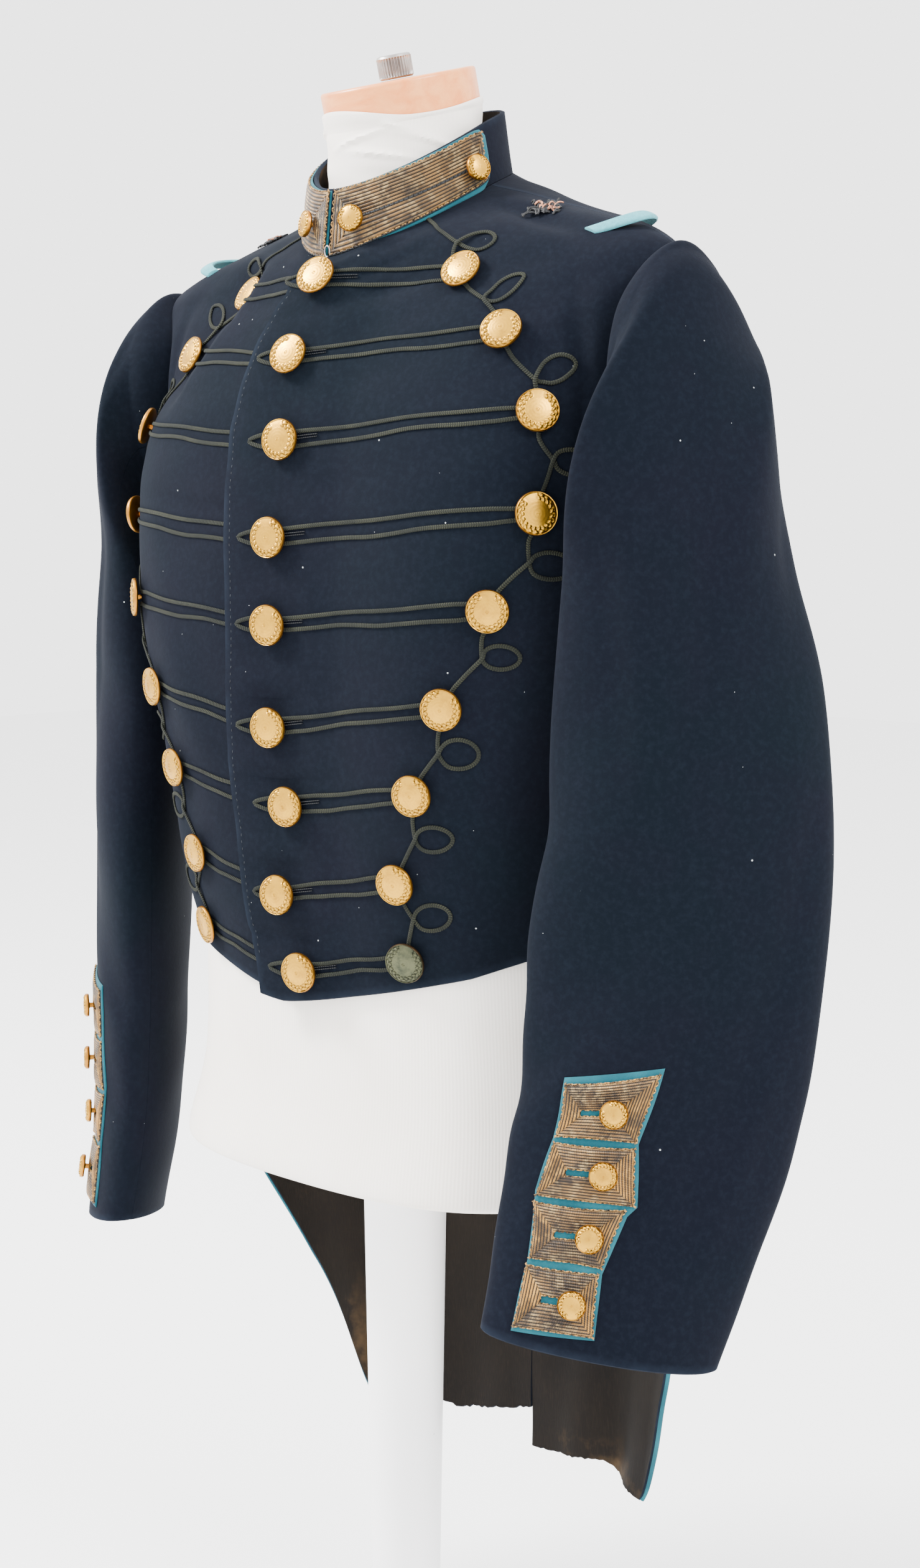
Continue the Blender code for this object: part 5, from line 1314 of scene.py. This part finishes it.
def set_buttons():
    for k, (centre_z, centre_x, outer_z, outer_x) in enumerate(BUTTON_TABLE, start=1):
        point, up = on_front(1, np.array([centre_x]), np.array([centre_z]))
        set_button(f"button_centre_{k}", point[0], up[0], BUTTON_RADIUS, 0.35 * math.sin(2.3 * k))
        for side, word in TWO_SIDES:
            point, up = on_front(side, np.array([side * outer_x]), np.array([outer_z]))
            seat = point[0] - up[0] * OUTER_BUTTON_SINK
            finish = GILT_DARK if side > 0 and k == 9 else GILT
            set_button(f"button_{word}_{k}", seat, up[0], BUTTON_RADIUS, 0.4 * math.sin(1.7 * k + side), finish)
    for side, word in TWO_SIDES:
        for place, t, height in COLLAR_BUTTONS:
            t, height = np.array([side * t]), np.array([height])
            normal = collar_normals(t, height)[0]
            point = collar(t, height)[0] + normal * (PATCH_WALL + 0.0013 + REST_GAP)
            set_button(f"collar_button_{word}_{place}", point, normal, SMALL_BUTTON_RADIUS, 0.3)
        surface = sleeve(side)
        for k, (station, degrees) in enumerate(CUFF_BUTTONS, start=1):
            station, degrees = np.array([station]), np.array([degrees])
            normal = sleeve_normals(side, degrees, station)[0]
            point = surface(degrees, station)[0] + normal * (PATCH_WALL + 0.0013 + REST_GAP)
            set_button(f"cuff_button_{word}_{k}", point, normal, SMALL_BUTTON_RADIUS, 0.8 * k)


# Shoulder straps, eyelets and hook

def sew_strap(side, word):
    count = 40
    u = np.linspace(0, 1, count)
    t = side * (STRAP_FROM_T + (STRAP_TO_T - STRAP_FROM_T) * u)
    row = np.full(count, STRAP_ROW)
    middle, up = body(t, row), normals(body, t, row)
    across = unit(body(t, row + 0.05) - body(t, row - 0.05))
    height = STRAP_FOOT + STRAP_ARCH * np.sin(math.pi * u)
    width = STRAP_HALF_WIDTH * (0.82 + 0.18 * np.sin(math.pi * u))
    shares = np.linspace(-1, 1, 11)
    low = middle[:, None] + across[:, None] * (width[:, None] * shares)[..., None] + (up * height[:, None])[:, None]
    crown = STRAP_WALL * (0.5 + 0.5 * np.sqrt(1 - 0.9 * shares**2))
    top = low + up[:, None] * crown[None, :, None]
    piece = cloth_wall(f"teal_shoulder_strap_{word}", top, low, (PALE_TEAL, PALE_TEAL), 0.0004)
    settle(piece, "root", f"shoulder_loop_{word}")
    declare_sheet(piece, top)


def tangle(name, centre, up, radius, material, seed, count=26, thickness=0.00035):
    """Frayed thread ends: small curls lying in a patch on the cloth."""
    draw = np.random.default_rng(seed)
    across = unit(np.cross(np.array([0.0, 0.0, 1.0]), up))
    along = np.cross(up, across)
    parts = []
    for _ in range(count):
        start = draw.uniform(-1, 1, 2) * radius * np.array((1.0, 0.5))
        heading, bend = draw.uniform(0, 2 * math.pi), draw.uniform(-1.4, 1.4)
        far = np.linspace(0, 1, 12)
        size = radius * draw.uniform(0.3, 0.8)
        x = start[0] + size * np.cumsum(np.cos(heading + bend * far * 3)) / 12
        y = start[1] + size * np.cumsum(np.sin(heading + bend * far * 3)) / 12
        z = 0.0004 + 0.0012 * draw.uniform(0.2, 1) * np.sin(math.pi * far)
        line = centre + across * x[:, None] + along * y[:, None] + up * z[:, None]
        parts.append(tube(line, np.tile(up, (12, 1)), thickness, thickness, sides=5))
    points, faces, uv = joined(parts)
    settle(make_piece(name, points, faces, (material,), uvs=uv))


def sew_eyelet(side, word):
    t, row = np.array([side * 1.78]), np.array([11.05])
    surface = front(side)
    point, up = surface(t, row)[0], normals(surface, t, row)[0]
    tangle(f"eyelet_threads_{word}", point, up, 0.0100, DARK_THREAD, 5, 46, 0.0006)
    tangle(f"eyelet_copper_{word}", point + up * 0.0009, up, 0.0075, COPPER_THREAD, 9, 16, 0.0004)


def add_hook():
    """A plated wire hook at the foot of the collar's front."""
    angles = np.linspace(-0.4, 1.6 * math.pi, 26)
    line = np.stack([0.0006 + 0.0020 * np.cos(angles), np.full(26, -0.0600), 0.8905 + 0.0030 * np.sin(angles)], 1)
    points, faces, uv = tube(line, np.tile(np.array([0.0, -1.0, 0.0]), (26, 1)), 0.0005, 0.0005)
    settle(make_piece("collar_hook", points, faces, (STEEL,), uvs=uv))


# Dress form and stand

def turned(name, profile, material, around=96, tilt=False, ridges=None):
    """A turned piece: radius and height rows, spun about the post or about the leaning neck."""
    profile = np.array(profile, float)
    angles = -math.pi + 2 * math.pi * np.arange(around) / around
    r, a = profile[:, 0:1] * np.ones(around), angles[None] * np.ones((len(profile), 1))
    if ridges is not None:
        count, depth, low, high = ridges
        inside = (profile[:, 1:2] > low) & (profile[:, 1:2] < high)
        r = r - depth * (0.5 + 0.5 * np.cos(a * count)) * inside
    x, y, z = r * np.sin(a), -r * np.cos(a), profile[:, 1:2] * np.ones(around)
    if tilt:
        lean = math.radians(NECK_TILT_DEG)
        y, z = (NECK_TOP_Y + y * math.cos(lean) - z * math.sin(lean), NECK_TOP_Z + y * math.sin(lean) + z * math.cos(lean))
    points = np.stack([x, y, z], -1).reshape(-1, 3)
    faces = []
    for i in range(len(profile) - 1):
        for j in range(around):
            n = (j + 1) % around
            faces.append([i * around + j, i * around + n, (i + 1) * around + n, (i + 1) * around + j])
    faces += [list(range(around)), list(range((len(profile) - 1) * around, len(profile) * around))]
    return make_piece(name, points, faces, (material,), uvs=np.zeros((len(points), 2)), sharp=35)


def neck_circle(centre_z, radius, t):
    lean = math.radians(NECK_TILT_DEG)
    angle = math.pi * t / 4
    x, y = radius * np.sin(angle), -radius * np.cos(angle)
    return np.stack([x, NECK_TOP_Y + y * math.cos(lean), centre_z + y * math.sin(lean)], -1)


def pad_form():
    """The padded torso in its jersey cover, with soft wrinkles at the neck."""
    around = 160
    t = -4.0 + 8.0 * np.arange(around) / around
    rows = [ring(row[None, :], t) for row in FORM_HIP_ROWS]
    inset = WALL + FORM_CLEARANCE
    for row in (3.5, 4.1, 4.8, 5.5, 6.3, 7.0, 7.7, 8.4, 9.1, 9.7, 10.3, 10.9, 11.5, 11.9):
        level = np.full(around, row)
        sunk = inset - shoulder_hollow(t, level) * (t < 0)
        rows.append(body(t, level) - normals(body, t, level) * sunk[:, None])
    rows += [neck_circle(NECK_FOOT_Z, NECK_RADIUS, t),
             neck_circle((NECK_FOOT_Z + NECK_TOP_Z) / 2, NECK_RADIUS * 0.99, t),
             neck_circle(NECK_TOP_Z, NECK_RADIUS, t)]
    marks = np.array(rows)
    last = len(marks) - 1
    places = np.concatenate([np.linspace(0, last - 2, 110)[:-1], np.linspace(last - 2, last, 26)])
    flat = table_at(marks.reshape(len(marks), -1), places).reshape(len(places), around, 3)
    turn_up = 0.0035 + 0.0085 * smooth_step((1.7 - np.abs(t + 0.55)) / 1.7) + 0.0012 * np.sin(t * 2.6 + 0.8)
    lean = math.radians(NECK_TILT_DEG)
    upward = np.array([0.0, -math.sin(lean), math.cos(lean)])
    middle = flat[-1].mean(axis=0)
    outward = unit(flat[-1] - middle)
    rim = [middle + outward * radius + upward * (turn_up * share)[:, None] for radius, share in
           ((0.0464, 0.35), (0.0466, 0.8), (0.0464, 0.97), (0.0460, 1.0), (0.04555, 0.96), (0.0454, 0.6), (0.0453, 0.02))]
    up = unit(flat * np.array([1.0, 1.0, 0.0]) - np.array([0.0, NECK_TOP_Y, 0.0]))
    high = smooth_step((flat[..., 2] - 0.925) / 0.012) * smooth_step((0.985 - flat[..., 2]) / 0.010)
    z, angle = flat[..., 2], t[None, :] * math.pi / 4
    folds = 0.0
    for at_z, lean_z, at_angle, wide, half in NECK_WRINKLES:
        folds = folds + (np.exp(-((z - at_z - lean_z * (angle - at_angle)) / half) ** 2)
                         * np.exp(-((angle - at_angle) / wide) ** 2))
    flat = flat + up * ((0.0021 * folds + 0.0003 * np.sin(angle * 5 + z * 300)) * high)[..., None]
    bottom = flat[0]
    centre = bottom.mean(axis=0)
    caps = [centre + (bottom - centre) * s for s in (0.02, 0.5, 0.9, 0.97)]
    grid = np.concatenate([np.array(caps), flat, np.array(rim)])
    n = len(grid)
    faces = []
    for i in range(n - 1):
        for j in range(around):
            k = (j + 1) % around
            faces.append([i * around + j, i * around + k, (i + 1) * around + k, (i + 1) * around + j])
    faces += [list(range(around)), list(range((n - 1) * around, n * around))]
    girth = lengths(grid, 1).mean(axis=0)
    uv = np.stack(np.broadcast_arrays(girth[None, :], grid[..., 2]), -1).reshape(-1, 2)
    piece = make_piece("jersey_torso", grid.reshape(-1, 3), faces, (JERSEY,), uvs=uv)
    settle(piece, "root", "form_torso")


def add_cap_knob_and_stand():
    edge = 0.0020
    arc = np.linspace(0, math.pi / 2, 6)
    foot = [(CAP_RADIUS - edge + edge * math.sin(a), REST_GAP + edge - edge * math.cos(a)) for a in arc]
    top = [(CAP_RADIUS - edge + edge * math.cos(a), CAP_HEIGHT - edge + edge * math.sin(a)) for a in arc]
    cap = [(0.002, REST_GAP)] + foot + top + [(0.002, CAP_HEIGHT + 0.0003)]
    settle(turned("beech_cap", cap, BEECH, tilt=True), "root", "form_cap")
    low = CAP_HEIGHT + REST_GAP + 0.0003
    high = low + KNOB_HEIGHT - 0.0008
    knob = [(0.001, low), (KNOB_RADIUS - 0.001, low), (KNOB_RADIUS, low + 0.001)]
    knob += [(KNOB_RADIUS, z) for z in np.linspace(low + 0.0016, high - 0.0022, 6)]
    knob += [(KNOB_RADIUS, high - 0.0016), (KNOB_RADIUS - 0.0006, high - 0.0005), (KNOB_RADIUS - 0.002, high), (0.001, high)]
    settle(turned("knurled_knob", knob, STEEL, around=240, tilt=True,
                  ridges=(36, 0.0010, low + 0.0012, high - 0.0018)), "root", "form_knob")
    bevel = 0.005
    corner = [(BASE_RADIUS - bevel + bevel * math.cos(a), BASE_HEIGHT - bevel + bevel * math.sin(a)) for a in arc]
    fillet = [(POST_FOOT_RADIUS + 0.012 - 0.012 * math.sin(a), BASE_HEIGHT + 0.0006 + 0.012 - 0.012 * math.cos(a)) for a in arc]
    post = [(POST_FOOT_RADIUS + (POST_TOP_RADIUS - POST_FOOT_RADIUS) * u, BASE_HEIGHT + 0.014 + (FORM_BOTTOM_Z - REST_GAP - BASE_HEIGHT - 0.014) * u)
            for u in np.linspace(0, 1, 12)]
    stand = [(0.002, 0.0), (BASE_RADIUS - 0.0015, 0.0), (BASE_RADIUS, 0.0015)] + corner
    stand += [(POST_FOOT_RADIUS + 0.013, BASE_HEIGHT + 0.0004)] + fillet + post + [(0.002, FORM_BOTTOM_Z - REST_GAP)]
    settle(turned("enamelled_stand", stand, ENAMEL), "root", "form_stand")


# Seams

def sew_seams(fronts):
    """Rows of small stitches along the front edges."""
    for side, word in TWO_SIDES:
        grid = fronts[side]
        edge = grid[:, 1]
        surface = front(side)
        lines = [edge[4:-4] + unit(np.cross(np.gradient(edge[4:-4], axis=0), np.array([0.0, 0.0, 1.0]))) * 0.0]
        settle(stitches(f"edge_stitches_{word}", lines, NAVY_THREAD, 0.0040, 0.0018, 0.0004, 0.1))


# The whole coat

fronts = {}
for side, word in TWO_SIDES:
    fronts[side] = sew_front(side, word)
    sew_back(side, word)
    sew_sleeve(side, word, True)
    sew_sleeve(side, word, False)
    sew_turning(side, word)
    sew_cuff(side, word)
    sew_collar_lace(side, word)
    sew_strap(side, word)
    sew_braid(side, word)
    sew_eyelet(side, word)
sew_collar()
sew_buttonholes()
set_buttons()
sew_seams(fronts)
add_hook()
pad_form()
add_cap_knob_and_stand()


# Floor, light and camera

def add_stage():
    mesh = bpy.data.meshes.new("floor")
    mesh.from_pydata([(-6, -6, 0), (6, -6, 0), (6, 6, 0), (-6, 6, 0)], [], [(0, 1, 2, 3)])
    floor = bpy.data.objects.new("floor", mesh)
    bpy.context.scene.collection.objects.link(floor)
    material, tree, shader, where = new_material("pale_floor", Roughness=0.9)
    shader.inputs["Base Color"].default_value = colour("#f7f7f7")
    mesh.materials.append(material)
    world = bpy.data.worlds.new("studio")
    bpy.context.scene.world = world
    world.use_nodes = True
    world.node_tree.nodes["Background"].inputs["Color"].default_value = (1.0, 1.0, 1.0, 1.0)
    world.node_tree.nodes["Background"].inputs["Strength"].default_value = 3.3


def add_light(name, place, aim, size, watts):
    light = bpy.data.lights.new(name, "AREA")
    light.size = size
    light.energy = watts
    lamp = bpy.data.objects.new(name, light)
    bpy.context.scene.collection.objects.link(lamp)
    lamp.location = place
    lamp.rotation_euler = (Vector(aim) - Vector(place)).to_track_quat("-Z", "Y").to_euler()


def add_camera():
    camera = bpy.data.cameras.new("camera")
    camera.lens = 51.5
    camera.sensor_width = 36.0
    holder = bpy.data.objects.new("camera", camera)
    bpy.context.scene.collection.objects.link(holder)
    holder.location = (0.936, -0.936, 0.745)
    azimuth, pitch = math.radians(43.56), math.radians(6.87)
    ahead = Vector((-math.sin(azimuth) * math.cos(pitch), math.cos(azimuth) * math.cos(pitch), -math.sin(pitch)))
    holder.rotation_euler = ahead.to_track_quat("-Z", "Y").to_euler()
    bpy.context.scene.camera = holder


add_stage()
add_light("key", (-1.5, -1.3, 2.6), (0.0, 0.0, 0.65), 0.8, 240.0)
add_light("fill", (2.2, -0.3, 2.3), (0.0, 0.0, 0.75), 1.1, 95.0)
add_camera()
